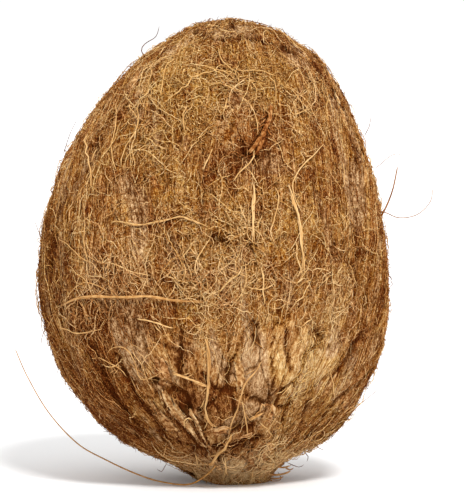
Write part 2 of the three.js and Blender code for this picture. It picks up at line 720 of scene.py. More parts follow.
@dataclass
class HuskSkin:
    """The nut's outer skin: ridged along its grain, matted, cracked into plates and torn."""

    columns: int = 480
    rows: int = 196
    sight: Sight = Sight()
    heart: Triple = (2.0, 0.0, 60.0)
    reach: float = 200.0  # from the heart to well outside the nut
    front_band: Pair = (5.0, -15.0)  # front to back, where the front's patches fade in
    back_band: Pair = (-12.0, 12.0)
    grain_lean: float = 20.0  # degrees that the stem end leans to the front
    grain_sway: float = 9.0  # degrees that the grain wanders
    settle: float = 0.55  # the skin sits this far inside, for the fibres on it
    lump_height: float = 0.5
    ridge_height: float = 0.35
    gap_depth: float = 0.9
    gap_width: float = 0.09
    fuzz_height: float = 0.2
    pit_depth: float = 0.8
    worn_depth: float = 0.25
    plate_height: float = 0.6
    plate_size: Triple = (0.15, 0.15, 0.032)  # along the grain places
    plate_warp: float = 0.2
    plate_count: int = 190
    plate_light: float = 0.20
    crack_depth: float = 1.1
    crack_width: float = 0.075  # as a share of a plate
    crack_dark: float = 0.42
    lip_place: float = 1.9  # from the middle of a tear, in tear widths
    darkened_width: float = 1.3
    fringe_place: float = 1.6
    foot_height: float = 3.0
    left_curl: float = 2.1
    right_curl: float = 1.6
    tear_step: float = 0.8
    back_tears: int = 52
    seed: int = 11

    mat: tuple[Patch, ...] = (
        Patch(5, 108, 26, 14, 0.9), Patch(-12, 86, 20, 20, 0.5), Patch(0, 62, 26, 18, 0.6),
        Patch(20, 72, 16, 24, 0.35), Patch(8, 44, 16, 6, 0.25), Patch(36, 60, 10, 12, 0.3),
        Patch(-32, 44, 10, 8, 0.3),
    )
    worn: tuple[Patch, ...] = (
        Patch(-17, 66, 9, 5, 1.3), Patch(-23, 80, 5, 10, 1.1), Patch(14, 90, 7, 4, 1.0),
        Patch(41, 80, 3, 14, 0.9), Patch(13, 33, 5, 9, 1.1), Patch(17, 27, 5, 8, 0.8),
        Patch(-13, 41, 6, 5, 0.9), Patch(-9, 30, 6, 5, 0.5), Patch(24, 119, 6, 4, 0.9),
        Patch(-28, 112, 4, 7, 1.1), Patch(34, 40, 5, 6, 0.6), Patch(6, 127, 16, 2.5, 0.8),
        Patch(-8, 93, 9, 6, 0.5),
    )
    curls: tuple[Patch, ...] = (
        Patch(-14, 63, 16, 7, 2.0), Patch(0, 62, 9, 14, 1.6), Patch(10, 72, 6, 14, 1.2),
        Patch(-34, 55, 10, 12, 1.2), Patch(6, 50, 9, 8, 1.4), Patch(-2, 114, 14, 5, 1.6),
        Patch(30, 52, 7, 8, 1.4), Patch(18, 108, 9, 6, 1.0), Patch(-20, 96, 8, 14, 0.8),
        Patch(14, 6, 14, 5, 1.6),
    )
    plates: tuple[Patch, ...] = (
        Patch(0, 19, 20, 15, 1.3), Patch(17, 33, 14, 14, 0.9), Patch(-12, 36, 10, 7, 0.5),
        Patch(10, 4, 14, 6, 0.9), Patch(26, 34, 9, 16, 0.6), Patch(-20, 30, 10, 12, 0.35),
    )
    # tone over the front, partly the husk's own and partly painted light and shade: a lit foot, shaded
    # outline edges, dark recesses under slabs and along tears
    tones_with_painted_shade: tuple[Patch, ...] = (
        Patch(-34, 26, 18, 22, -0.12), Patch(-22, 10, 16, 9, -0.15), Patch(32, 98, 10, 14, -0.04),
        Patch(3.5, 5, 4, 1.4, -0.3), Patch(11, 4, 2, 2, -0.28), Patch(15, 2.5, 3, 1, -0.2),
        Patch(-24, 47, 14, 4.5, -0.2), Patch(-47, 60, 5, 40, -0.2), Patch(47, 60, 6, 50, -0.1),
        Patch(29, 36, 11, 16, 0.27), Patch(13, 35, 7, 10, 0.12), Patch(-24, 66, 16, 18, 0.05),
        Patch(-2, 56, 18, 12, 0.07), Patch(4, 21, 14, 9, -0.21), Patch(-10, 10, 8, 6, -0.08),
        Patch(38, 26, 7, 9, 0.12), Patch(5, 9.5, 7, 1.6, -0.3), Patch(-1, 6.5, 5, 1.4, -0.22),
        Patch(8, 2, 18, 5, 0.74), Patch(-12, 9, 12, 6, 0.1), Patch(20, 8, 6, 7, 0.2),
        Patch(13, 96, 3, 4, -0.26), Patch(8, 92, 3, 2.5, -0.22), Patch(-12, 98, 14, 12, -0.02),
        Patch(14, 56, 18, 20, 0.08), Patch(2, 68, 4, 3, -0.25), Patch(-19, 57, 9, 4, -0.1),
        Patch(6, 111, 20, 10, 0.02), Patch(2, 122, 26, 8, 0.04), Patch(0, 84, 20, 8, -0.04),
    )
    golds: tuple[Patch, ...] = (
        Patch(2, 114, 24, 14, 0.3), Patch(-33, 30, 16, 24, -0.45), Patch(-19, 57, 14, 6, -0.35),
        Patch(-24, 46, 14, 6, -0.4), Patch(10, 94, 8, 8, -0.7), Patch(0, 22, 16, 14, -0.3),
        Patch(-44, 72, 8, 30, 0.2), Patch(28, 32, 10, 14, 0.3), Patch(6, 3, 16, 5, -0.5),
    )
    straw_route: Route = (
        (38, 52), (32, 45), (27, 34), (23, 23), (19, 12), (17, 5),
    )
    straw_width: float = 3.6
    tears: tuple[Tear, ...] = (
        Tear(((16, 103), (14, 98), (11, 94), (7, 91)), 1.1, 1.5, 0.2, 0.5),
        Tear(((8, 96), (9, 93), (12, 91)), 0.9, 1.2, 0.2, 0.5),
        Tear(((-6, 127), (-1, 125), (7, 125), (14, 124), (22, 121)), 0.9, 1.4, 0.5, 0.45),
        Tear(((27, 119), (31, 114), (35, 108), (38, 100), (41, 90)), 0.9, 0.9, 0.4),
        Tear(((35, 112), (39, 102), (43, 90)), 0.7, 0.7, 0.3),
        Tear(((-29, 101), (-32, 97), (-35, 93)), 1.1, 1.6, 0.5),
        Tear(((-38, 96), (-41, 86), (-42, 78)), 0.6, 0.8, 0.2),
        Tear(((-43, 80), (-45, 68), (-46, 55)), 0.7, 0.9, 0.2),
        Tear(((-40, 76), (-41, 64), (-42, 52)), 0.6, 0.8, 0.2),
        Tear(((-38, 44), (-31, 30), (-22, 16)), 0.7, 0.8, 0.2),
        Tear(((-36, 36), (-28, 23), (-18, 12)), 0.6, 0.8, 0.2),
        Tear(((-28, 36), (-22, 24), (-14, 13)), 0.7, 0.8, 0.2),
        Tear(((-9, 37), (-10, 31), (-8, 27)), 0.8, 1.0),
        Tear(((-17, 28), (-12, 26), (-8, 24), (-7, 20)), 1.0, 1.4, 0.5),
        Tear(((-3, 30), (0, 26), (5, 24), (6, 19)), 0.7, 1.0),
        Tear(((21, 42), (21, 36), (22, 31)), 0.7, 1.1), Tear(((12, 44), (12, 39)), 0.9, 1.2),
        Tear(((38, 63), (41, 56), (39, 48)), 1.0, 1.2), Tear(((40, 72), (41, 63)), 0.7, 0.9),
        Tear(((32, 25), (37, 33), (42, 41)), 1.1, 1.1), Tear(((29, 42), (31, 40)), 1.4, 1.4),
        Tear(((45, 31), (35, 22), (27, 12)), 0.9, 1.0), Tear(((27, 22), (25, 15), (22, 9)), 0.8, 1.0),
        Tear(((-5, 8), (0, 9), (5, 9), (9, 11), (13, 12)), 1.2, 1.6, 0.4),
        Tear(((0, 5), (4, 7), (8, 6)), 0.9, 1.1, 0.3), Tear(((6, 14), (11, 15)), 0.9, 0.9),
        Tear(((2, 4), (5, 2.5), (9, 3.5), (12, 2.5)), 0.6, 0.8, 0.3),
        Tear(((9, 6), (11, 3)), 0.8, 0.9, 0.4), Tear(((0, 69), (4, 67)), 0.9, 1.2, 0.3),
        Tear(((-10, 24), (-5, 15), (-3, 9)), 0.6, 0.7),
    )

    def grid(self) -> tuple[Array, Array]:
        """Lays out the points between the poles, ring by ring.

        Returns:
            Each point's elevation and azimuth, in radians.
        """
        rise = (np.arange(self.rows) + 1) / (self.rows + 1)
        elevation = np.pi * (rise - 0.5)
        azimuth = 2 * np.pi * np.arange(self.columns) / self.columns
        up, around = np.meshgrid(elevation, azimuth, indexing="ij")
        return up.ravel(), around.ravel()

    def smooth_surface(self) -> None:
        """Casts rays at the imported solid, and keeps where they land and how the surface faces there."""
        shape = packed_solid("coconut")
        tree = BVHTree.FromBMesh(shape)
        shape.free()
        up, around = self.grid()
        level = np.cos(up)
        aim = np.stack([level * np.cos(around), level * np.sin(around), np.sin(up)], axis=1)
        aim = np.vstack([-UP, aim, UP])
        heart = np.array(self.heart) * MM
        hits = [tree.ray_cast(Vector(heart + self.reach * MM * a), Vector(-a))[0] for a in aim]
        self.base = np.array(hits)
        self.seen = self.sight.seen(self.base / MM)
        self.front = smooth_step(*self.front_band, self.base[:, 1] / MM)
        axis = self.grain_axis()
        self.elevation = np.arcsin(np.clip(aim @ axis, -1.0, 1.0))
        self.azimuth = np.arctan2(aim @ np.cross(axis, ACROSS), aim @ ACROSS)
        self.facing = self.normals(self.base)
        self.grain = self.grain_places()

    def grain_axis(self) -> Array:
        """The axis that the husk's grain runs round, whose lower end leans to the front."""
        lean = math.radians(self.grain_lean)
        return np.array([0.0, math.sin(lean), math.cos(lean)])

    def uneven(self, lumps: Lumps) -> Array:
        """One of the unevennesses in space, at each point."""
        seed, size = lumps.value
        return Unevenness(self.seed + seed).at(self.base / MM / np.array(size))

    def streaked(self, streaks: Streaks) -> Array:
        """One of the unevennesses along the grain, at each point."""
        seed, count, shift = streaks.value
        return Unevenness(self.seed + seed).at(self.grain * count + shift)

    def normals(self, places: Array) -> Array:
        """The surface's direction at each point, from its neighbours.

        Args:
            places: The points, pole to pole.

        Returns:
            Unit vectors that point out.
        """
        inner = places[1:-1].reshape(self.rows, self.columns, 3)
        around = np.roll(inner, -1, axis=1) - np.roll(inner, 1, axis=1)
        below = np.concatenate([np.broadcast_to(places[0], (1, self.columns, 3)), inner[:-1]])
        above = np.concatenate([inner[1:], np.broadcast_to(places[-1], (1, self.columns, 3))])
        out = unit(np.cross(around, above - below)).reshape(-1, 3)
        return np.vstack([-UP, out, UP])

    def blurred(self, values: Array, across: int, along: int) -> Array:
        """Averages values over neighbouring columns and rows, and leaves the poles as they are.

        Args:
            values: One value for each point, pole to pole.
            across: How many columns to either side.
            along: How many rows up and down.

        Returns:
            The averaged values.
        """
        inner = values[1:-1].reshape(self.rows, self.columns)
        inner = sum(np.roll(inner, k, axis=1) for k in range(-across, across + 1)) / (2 * across + 1)
        padded = np.pad(inner, ((along, along), (0, 0)), mode="edge")
        inner = sum(padded[k : k + self.rows] for k in range(2 * along + 1)) / (2 * along + 1)
        return np.concatenate([values[:1], inner.ravel(), values[-1:]])

    def on_front(self, route: Sequence[Pair]) -> Array:
        """A route seen from the front, dropped on the smooth surface, in millimetres."""
        return np.array([self.drop(x, z)[0] for x, z in route]) / MM

    def drop(self, x: float, z: float) -> tuple[Array, Array]:
        """The front surface's place and direction behind a point seen from the front.

        Args:
            x: Millimetres to the right.
            z: Millimetres up.

        Returns:
            The place and the unit direction, in metres.
        """
        eye = self.sight.eye() * MM
        target = np.array([x * MM, 0.0, z * MM])
        place, facing, _, _ = self.tree.ray_cast(Vector(eye), Vector(unit(target - eye)))
        if place is None:
            return self.nearest(target)
        return np.array(place), np.array(facing)

    def nearest(self, place: Array) -> tuple[Array, Array]:
        """The skin's nearest place and direction to a point, in metres."""
        found = self.tree.find_nearest(Vector(place))
        return np.array(found[0]), np.array(found[1])

    def faces(self) -> list[tuple[int, ...]]:
        """Joins the points into rings of quads, with a fan at each pole.

        Returns:
            Each face's points.
        """
        last = self.rows * self.columns + 1
        rings = 1 + np.arange(self.rows * self.columns).reshape(self.rows, self.columns)
        beside = np.roll(rings, -1, axis=1)
        quads = np.stack([rings[:-1], beside[:-1], beside[1:], rings[1:]], axis=-1).reshape(-1, 4)
        bottom = [(0, int(b), int(a)) for a, b in zip(rings[0], beside[0])]
        top = [(last, int(a), int(b)) for a, b in zip(rings[-1], beside[-1])]
        return bottom + [tuple(q) for q in quads.tolist()] + top

    def grain_places(self) -> Array:
        """Places for patterns that run with the grain: fast round the nut, and slowly along it.

        Returns:
            Rows of three numbers, in radii.
        """
        turned = self.azimuth + self.uneven(Lumps.WANDER) * 0.05 + 0.1 * self.elevation
        spoke = np.cos(self.elevation) ** 0.35
        along = self.elevation * 0.085
        return np.stack([np.cos(turned) * spoke, np.sin(turned) * spoke, along], axis=1)

    def patched(self, items: Iterable[Patch]) -> Array:
        """The sum of several patches over the front."""
        return self.front * sum((item.over(self.seen) for item in items), np.zeros(len(self.base)))

    def paint(self) -> None:
        """Paints the layers that say what grows and shows where, and the tone with its painted light and
        shade.
        """
        places = self.base / MM
        height = places[:, 2]
        behind = smooth_step(*self.back_band, places[:, 1])
        slow = self.uneven(Lumps.SLOW)
        patchy = self.uneven(Lumps.PATCHY)

        clumps = smooth_step(-0.35, 0.35, self.uneven(Lumps.CLUMPS))
        mat = self.patched(self.mat) * (0.35 + 0.85 * clumps)
        mat += behind * smooth_step(-0.25, 0.35, slow) * smooth_step(22.0, 45.0, height)
        self.mat_share = np.clip(mat, 0.0, 1.0)

        plates = self.patched(self.plates)
        plates += 0.9 * behind * smooth_step(42.0, 20.0, height) * smooth_step(-0.3, 0.2, slow)
        self.plate_share = np.clip(plates, 0.0, 1.0) * smooth_step(0.0, 3.0, height)

        route = curve_through(self.on_front(self.straw_route), 1.0)
        off_straw = distance_to_route(places, route) / self.straw_width
        ragged = 1.0 + 0.7 * self.uneven(Lumps.RAGGED)
        self.straw = np.exp(-((off_straw * ragged) ** 2)) * (0.75 + 0.4 * patchy)

        strips = self.streaked(Streaks.STRIPS) * (1.0 - 0.6 * self.mat_share)
        blots = smooth_step(0.15, 0.6, self.uneven(Lumps.BLOTS)) * (1.0 - self.plate_share)
        tufts = smooth_step(0.1, 0.6, self.uneven(Lumps.TUFTS)) * self.mat_share
        worn = self.patched(self.worn) * smooth_step(-0.6, 0.2, patchy)
        worn += (0.55 + 0.05 * behind) * smooth_step(0.2, 0.45, patchy)
        self.worn_share = np.clip(worn, 0.0, 1.0) * (1.0 - 0.6 * self.straw)
        self.worn_share += 0.6 * smooth_step(0.2, 0.55, strips)
        self.gold = self.patched(self.golds) + 0.25 * slow + 0.1 * self.straw - 0.7 * blots
        # tone with painted light and shade from the patches, lighter straw and strips, darker blots
        self.light = self.patched(self.tones_with_painted_shade) + 0.05 * slow + 0.10 * self.straw
        self.light += 0.22 * strips - 0.2 * blots + 0.12 * tufts
        # darker low on the back
        self.light -= 0.14 * smooth_step(30.0, 10.0, height) * behind
        self.curled = np.clip(self.patched(self.curls), 0.0, 1.5) * smooth_step(-0.4, 0.3, patchy)
        self.way = self.grain_ways(route)

    def grain_ways(self, straw: Array) -> Array:
        """Which way the fibres run: up the nut with a little wander, and along the straw band.

        Args:
            straw: The straw band's route, from its top down.

        Returns:
            A unit direction for each point.
        """
        out = self.facing
        axis = self.grain_axis()
        rise = unit(axis - out * (out @ axis)[:, None] + 1e-9)
        cross = np.cross(out, rise)
        sway = np.radians(self.grain_sway) * self.uneven(Lumps.SWAY)
        way = rise * np.cos(sway)[:, None] + cross * np.sin(sway)[:, None]
        band = unit(straw[0] - straw[-1])
        share = smooth_step(0.1, 0.6, self.straw)[:, None]
        return unit(way * (1.0 - share) + band * share)

    def all_tears(self) -> list[tuple[Tear, Array]]:
        """The tears of the front, and a scatter of cracks along the grain on the sides and back.

        Returns:
            Each tear with its route over the smooth surface, in millimetres.
        """
        found = [(tear, curve_through(self.on_front(tear.route), self.tear_step)) for tear in self.tears]
        draw = np.random.default_rng(self.seed + 4)
        behind = np.flatnonzero((self.base[:, 1] > -0.004) & (self.base[:, 2] > 0.006))
        for spot in draw.choice(behind, self.back_tears):
            along, aside = self.way[spot], np.cross(self.facing[spot], self.way[spot])
            reach, bend = draw.uniform(5.0, 20.0), draw.uniform(-2.0, 2.0)
            steps = np.linspace(-0.5, 0.5, 5)[:, None]
            line = self.base[spot] + (steps * reach * along + 4.0 * steps**2 * bend * aside) * MM
            dropped = np.array([self.nearest(place)[0] for place in line]) / MM
            tear = Tear((), draw.uniform(0.5, 1.0), draw.uniform(0.6, 1.3), 0.25)
            found.append((tear, curve_through(dropped, self.tear_step)))
        return found

    def cells(self, scaled: Array) -> tuple[Array, Array]:
        """Splits the surface into uneven plates.

        Args:
            scaled: The points, where a plate is about one unit wide and long.

        Returns:
            Each point's distance from the nearest crack, as a share of a plate, and its plate's
            own random number from 0 to 1.
        """
        draw = np.random.default_rng(self.seed + 5)
        centres = scaled[draw.integers(0, len(scaled), self.plate_count)]
        best = np.full(len(scaled), np.inf)
        second = np.full(len(scaled), np.inf)
        owner = np.zeros(len(scaled), int)
        for index, centre in enumerate(centres):
            off = np.sum((scaled - centre) ** 2, axis=1)
            closer = off < best
            second = np.where(closer, best, np.minimum(second, off))
            owner[closer] = index
            best = np.minimum(best, off)
        return np.sqrt(second) - np.sqrt(best), draw.random(self.plate_count)[owner]

    def heights(self) -> Array:
        """Works out the skin's relief, and shades its plates and tears.

        Returns:
            How far each point stands out from the smooth surface, in millimetres.
        """
        fuzz = self.uneven(Lumps.FUZZ) + 0.6 * self.uneven(Lumps.FINE_FUZZ)
        seams = self.streaked(Streaks.SEAMS)
        gaps = np.exp(-((seams / self.gap_width) ** 2)) * smooth_step(-0.3, 0.3, self.uneven(Lumps.GAPS))
        pits = smooth_step(0.22, 0.5, self.uneven(Lumps.PITS))
        near_poles = smooth_step(0.0, 0.35, np.cos(self.elevation))
        grain_share = np.clip(1.0 - 0.75 * self.mat_share - 0.7 * self.plate_share, 0.1, 1.0)

        height = self.lump_height * self.uneven(Lumps.BROAD)
        height += self.ridge_height * self.streaked(Streaks.RIDGES) * grain_share * near_poles
        height -= self.gap_depth * gaps * grain_share * near_poles
        height += self.fuzz_height * fuzz * (0.4 + self.mat_share) * near_poles
        height -= self.pit_depth * pits * (0.25 + self.mat_share) * near_poles
        height -= self.worn_depth * smooth_step(0.3, 0.55, self.worn_share)

        warps = (Lumps.WARP_ACROSS, Lumps.WARP_DEEP, Lumps.WARP_UP)
        warp = np.stack([self.uneven(lumps) for lumps in warps], axis=1)
        edge, own = self.cells(self.grain / self.plate_size + self.plate_warp * warp)
        crack = np.exp(-((edge / self.crack_width) ** 2))
        height += self.plate_share * (self.plate_height * (own - 0.4) - self.crack_depth * crack)
        self.light += self.plate_share * (self.plate_light * (own - 0.35) - self.crack_dark * crack)
        self.cut_tears(height)
        return height - self.settle

    def cut_tears(self, height: Array) -> None:
        """Cuts the tears, darkens them, and lets coir fray along them and round the foot.

        Args:
            height: The relief that they are cut in, in millimetres.
        """
        places = self.base / MM
        wobble = 1.0 + 0.45 * self.uneven(Lumps.TORN)
        self.torn = np.zeros(len(places))
        self.fringe = 0.7 * smooth_step(9.0, 2.0, places[:, 2]) * smooth_step(0.0, 0.6, places[:, 2])
        for tear, route in self.all_tears():
            off = distance_to_route(places, route) / tear.width * wobble
            height -= tear.depth * np.exp(-(off**2))
            height += tear.lip * np.exp(-((off - self.lip_place) ** 2) / 0.5)
            # darker along each tear
            self.torn = np.maximum(self.torn, tear.dark * np.exp(-((off / self.darkened_width) ** 2)))
            self.fringe = np.maximum(self.fringe, np.exp(-((off - self.fringe_place) ** 2) / 0.6))

    def foot_rise(self) -> Array:
        """How far the edges of the foot curl up off the floor, in millimetres.

        Returns:
            One rise for each point.
        """
        across, height = self.base[:, 0] / MM, self.base[:, 2] / MM
        right_edge = smooth_step(15.0, 18.5, across) + np.exp(-(((across - 26.0) / 4.0) ** 2))
        curl = self.left_curl * smooth_step(4.0, -9.0, across) + self.right_curl * right_edge
        return curl * smooth_step(12.0, 2.0, height)

    def layers(self, hollow: Array) -> dict[Enum, Array]:
        """The painted layers that the finish and the fibres read.

        Args:
            hollow: How deep each point lies below its neighbours, from 0 to 1.

        Returns:
            Each layer's values.
        """
        bare = (1.0 - 0.92 * smooth_step(0.2, 0.55, self.worn_share)) * (1.0 - 0.93 * self.plate_share)
        bare *= 1.0 - 0.5 * self.straw
        weathered = 0.9 * smooth_step(0.2, 0.7, self.worn_share) + 0.4 * self.plate_share + 0.5 * self.straw
        firm = np.maximum(self.plate_share, smooth_step(0.1, 0.6, self.straw))
        return {
            # painted shade under the curls' clusters, and darker along the tears
            Mask.LIGHT: self.light - self.torn - 0.07 * self.curled,
            Mask.GOLD: self.gold - self.torn,
            Mask.HOLLOW: hollow,
            Mask.MATTED: self.mat_share,
            Mask.WORN: np.clip(weathered, 0.0, 1.0),
            Mask.PLATED: self.plate_share,
            Share.MAT: (self.mat_share + 0.09) * bare,
            Share.GRAIN: (1.1 - self.mat_share) * bare,
            Share.CURL: (0.05 + 0.15 * self.mat_share + self.curled) * (0.3 + 0.7 * bare),
            Share.FUZZ: 1.0 - 0.85 * firm,
            Share.FRINGE: self.fringe * (1.0 - 0.65 * self.plate_share),
            Share.STRAW: smooth_step(0.15, 0.7, self.straw),
        }

    def build(self) -> Object:
        """Builds the skin, its painted layers, and the tree that other pieces are dropped on.

        Returns:
            The skin.
        """
        self.smooth_surface()
        faces = self.faces()
        self.tree = BVHTree.FromPolygons(self.base.tolist(), faces)
        self.paint()
        height = self.heights()
        foot = smooth_step(0.0, self.foot_height * MM, self.base[:, 2])
        out = height * np.where(self.facing[:, 2] < -0.9, foot, 1.0) * MM
        places = self.base + self.facing * out[:, None]
        places[:, 2] = np.maximum(places[:, 2], 0.0) + self.foot_rise() * MM
        self.tree = BVHTree.FromPolygons(places.tolist(), faces)

        mesh = bpy.data.meshes.new("husk_skin")
        mesh.from_pydata(places.tolist(), [], faces)
        mesh.shade_smooth()
        self.map_grid(mesh)
        hollow = smooth_step(0.1, 1.0, self.blurred(height, 5, 3) - height)
        for kind, values in self.layers(hollow).items():
            layer = mesh.attributes.new(kind.value, "FLOAT", "POINT")
            layer.data.foreach_set("value", values.astype(np.float32))
        for name, vectors in ((GRAIN_PLACE, self.grain), (GRAIN_WAY, self.way)):
            layer = mesh.attributes.new(name, "FLOAT_VECTOR", "POINT")
            layer.data.foreach_set("vector", vectors.astype(np.float32).ravel())
        mesh.materials.append(HuskFinish().material())
        self.piece = placed("husk_skin", mesh)
        return self.piece

    def map_grid(self, mesh: Mesh) -> None:
        """Lays the skin's map out as its grid, with one seam up it and a fan at each pole.

        Args:
            mesh: The skin's mesh.
        """
        layer = mesh.uv_layers.new(name=FIBRE_MAP)
        corners = np.zeros(len(mesh.loops), int)
        mesh.loops.foreach_get("vertex_index", corners)
        column = np.where(corners == 0, 0.5, (corners - 1) % self.columns).astype(float)
        row = (corners - 1) // self.columns + 1.0
        row[corners == 0] = 0.0
        starts = np.zeros(len(mesh.polygons), int)
        mesh.polygons.foreach_get("loop_start", starts)
        face = np.searchsorted(starts, np.arange(len(corners)), side="right") - 1
        pole = (corners == 0) | (corners == self.rows * self.columns + 1)
        low = np.minimum.reduceat(np.where(pole, self.columns, column), starts)[face]
        high = np.maximum.reduceat(np.where(pole, -1, column), starts)[face]
        wraps = high - low > self.columns / 2
        column = np.where(wraps & (column == 0) & ~pole, self.columns, column)
        column = np.where(pole, np.where(wraps, self.columns - 0.5, low + 0.5), column)
        places = np.stack([column / self.columns, row / (self.rows + 1)], axis=1)
        layer.uv.foreach_set("vector", places.astype(np.float32).ravel())

    def tidy(self) -> None:
        """Removes the layers that only the fibres needed."""
        for name in (GRAIN_WAY, *(share.value for share in Share)):
            self.piece.data.attributes.remove(self.piece.data.attributes[name])


# ---------------- the fibres


@dataclass(frozen=True)
class Coir:
    """One kind of fibre and how it lies."""

    name: str
    share: Share
    pieces: int
    count: int  # fibres in each piece
    length: float
    length_spread: float
    thickness: float
    thickness_spread: float
    steps: int
    fan: float  # degrees that a fibre may turn from the grain
    bend: float  # how far it wanders, as a share of its length
    turns: float  # how often it changes its mind
    lift: float
    arch: float
    flare: float  # how far a free end stands off
    tone: Pair = (0.3, 0.7)
    hue: Pair = (0.2, 0.9)
    seed: int = 1


FIBRE_SCRATCH = ("start", "along", "aside", "reach", "thick", "tone", "hue", "free", "step")


class FibreTree:
    """The Geometry Nodes tree that scatters fibres over the husk and lays each along it."""

    SOCKETS = {
        "NodeSocketObject": ("Husk",),
        "NodeSocketString": ("Where",),
        "NodeSocketInt": ("Steps", "Seed"),
        "NodeSocketMaterial": ("Finish",),
        "NodeSocketFloat": (
            "Density", "Length", "Length Spread", "Thickness", "Thickness Spread", "Fan", "Bend",
            "Turns", "Lift", "Arch", "Flare", "Tone Low", "Tone High", "Hue Low", "Hue High",
        ),
    }
    SIDES = 3
    APART = 4000.0  # pulls neighbouring fibres' noise apart
    # painted shade: how much darker a fibre is where it starts in a hollow
    HOLLOW_PAINTED_SHADE = 0.55
    TIP_TAPER = 0.7  # how much thinner a fibre is at its ends
    MAP_WIDTH = 0.012  # a fibre's patch on its map

    def __init__(self) -> None:
        """Builds the tree."""
        self.tree = bpy.data.node_groups.new("coir_fibres", "GeometryNodeTree")
        self.bench = Bench(self.tree)
        make = self.tree.interface.new_socket
        make("Geometry", in_out="OUTPUT", socket_type="NodeSocketGeometry")
        for kind, names in self.SOCKETS.items():
            for name in names:
                make(name, in_out="INPUT", socket_type=kind)
        self.given = self.bench.add("NodeGroupInput").outputs
        self.husk = self.bench.add(
            "GeometryNodeObjectInfo", {"Object": self.given["Husk"]}, transform_space="RELATIVE"
        ).outputs["Geometry"]
        curves = self.lay(self.strands(self.scatter()))
        self.bench.add("NodeGroupOutput", {"Geometry": self.flesh_out(curves)})

    def named(self, name: Any, kind: str = "FLOAT") -> NodeSocket:
        """A stored layer's value."""
        node = self.bench.add("GeometryNodeInputNamedAttribute", {"Name": name}, data_type=kind)
        return self.bench.out(node, "Attribute")

    def store(
        self, geometry: Any, name: str, value: Any, kind: str = "FLOAT", domain: str = "POINT"
    ) -> NodeSocket:
        """Stores a value in a named layer.

        Args:
            geometry: The geometry's socket.
            name: The layer's name.
            value: The value's socket.
            kind: Blender's name for its data type.
            domain: Blender's name for what holds it.

        Returns:
            The geometry with the layer on it.
        """
        sockets = {"Geometry": geometry, "Name": name, "Value": value}
        node = self.bench.add("GeometryNodeStoreNamedAttribute", sockets, data_type=kind, domain=domain)
        return node.outputs["Geometry"]

    def random(self, low: Any, high: Any, step: int) -> NodeSocket:
        """A random number for each point.

        Args:
            low: The lowest that it may be.
            high: The highest that it may be.
            step: What is added to the seed, so that no two numbers go together.

        Returns:
            The number's socket.
        """
        seed = self.bench.total(self.given["Seed"], float(step))
        sockets = {"Min": low, "Max": high, "Seed": seed}
        return self.bench.out(self.bench.add("FunctionNodeRandomValue", sockets, data_type="FLOAT"))

    def around(self, name: str, step: int) -> NodeSocket:
        """A random size round a given one, by its given spread either way.

        Args:
            name: The size's name.
            step: What is added to the seed.

        Returns:
            The size's socket.
        """
        spread = self.given[f"{name} Spread"]
        low, high = self.bench.less(1.0, spread), self.bench.total(1.0, spread)
        return self.bench.product(self.given[name], self.random(low, high, step))

    def scatter(self) -> NodeSocket:
        """Scatters points on the husk and stores each one's fibre: its direction, size and colour.

        Returns:
            The points.
        """
        bench, given = self.bench, self.given
        density = bench.product(given["Density"], self.named(given["Where"]))
        sockets = {"Mesh": self.husk, "Density": density, "Seed": given["Seed"]}
        spread = bench.add("GeometryNodeDistributePointsOnFaces", sockets, distribute_method="RANDOM")
        out = spread.outputs["Normal"]
        way = self.named(GRAIN_WAY, "FLOAT_VECTOR")
        off = bench.scaled(out, bench.dot(out, way))
        grain = bench.vector("NORMALIZE", bench.vector("SUBTRACT", way, off))
        cross = bench.vector("CROSS_PRODUCT", out, grain)
        angle = self.random(bench.product(given["Fan"], -1.0), given["Fan"], 1)
        cosine, sine = bench.math("COSINE", angle), bench.math("SINE", angle)
        hollow = bench.product(self.named(Mask.HOLLOW.value), self.HOLLOW_PAINTED_SHADE)
        tone = self.random(given["Tone Low"], given["Tone High"], 4)
        hue = self.random(given["Hue Low"], given["Hue High"], 5)
        vectors = {
            "start": bench.add("GeometryNodeInputPosition").outputs[0],
            "along": bench.vector("ADD", bench.scaled(grain, cosine), bench.scaled(cross, sine)),
            "aside": bench.vector("SUBTRACT", bench.scaled(cross, cosine), bench.scaled(grain, sine)),
        }
        numbers = {
            "reach": self.around("Length", 2),
            "thick": self.around("Thickness", 3),
            # random, plus the skin's tone with its painted light and shade, less painted shade in hollows
            "tone": bench.less(bench.total(tone, self.named(Mask.LIGHT.value)), hollow),
            "hue": bench.total(hue, self.named(Mask.GOLD.value)),
            "free": self.random(0.0, 1.0, 6),
        }
        points = spread.outputs["Points"]
        for name, value in vectors.items():
            points = self.store(points, name, value, "FLOAT_VECTOR")
        for name, value in numbers.items():
            points = self.store(points, name, value)
        return points

    def strands(self, points: Any) -> NodeSocket:
        """Puts a straight strand at each point, to be laid later.

        Args:
            points: The scattered points.

        Returns:
            The strands, as curves.
        """
        bench = self.bench
        line = bench.add("GeometryNodeCurvePrimitiveLine").outputs[0]
        strand = bench.add("GeometryNodeResampleCurve", {"Curve": line, "Count": self.given["Steps"]})
        sockets = {"Points": points, "Instance": strand.outputs[0]}
        copies = bench.add("GeometryNodeInstanceOnPoints", sockets).outputs[0]
        return bench.add("GeometryNodeRealizeInstances", {"Geometry": copies}).outputs[0]

    def lay(self, curves: Any) -> NodeSocket:
        """Bends each strand and lays it along the husk.

        Args:
            curves: The straight strands.

        Returns:
            The strands where they lie.
        """
        bench, given = self.bench, self.given
        step = bench.add("GeometryNodeSplineParameter").outputs["Factor"]
        start, along, aside = (self.named(n, "FLOAT_VECTOR") for n in ("start", "along", "aside"))
        reach = self.named("reach")
        walk = bench.add("ShaderNodeCombineXYZ", {2: bench.product(step, given["Turns"])}).outputs[0]
        where = bench.vector("ADD", bench.scaled(start, self.APART), walk)
        noise = bench.noise(where, 1.0, 0.0).outputs["Color"]
        sway = bench.add("ShaderNodeSeparateXYZ", {0: noise}).outputs
        swing = bench.product(reach, given["Bend"])

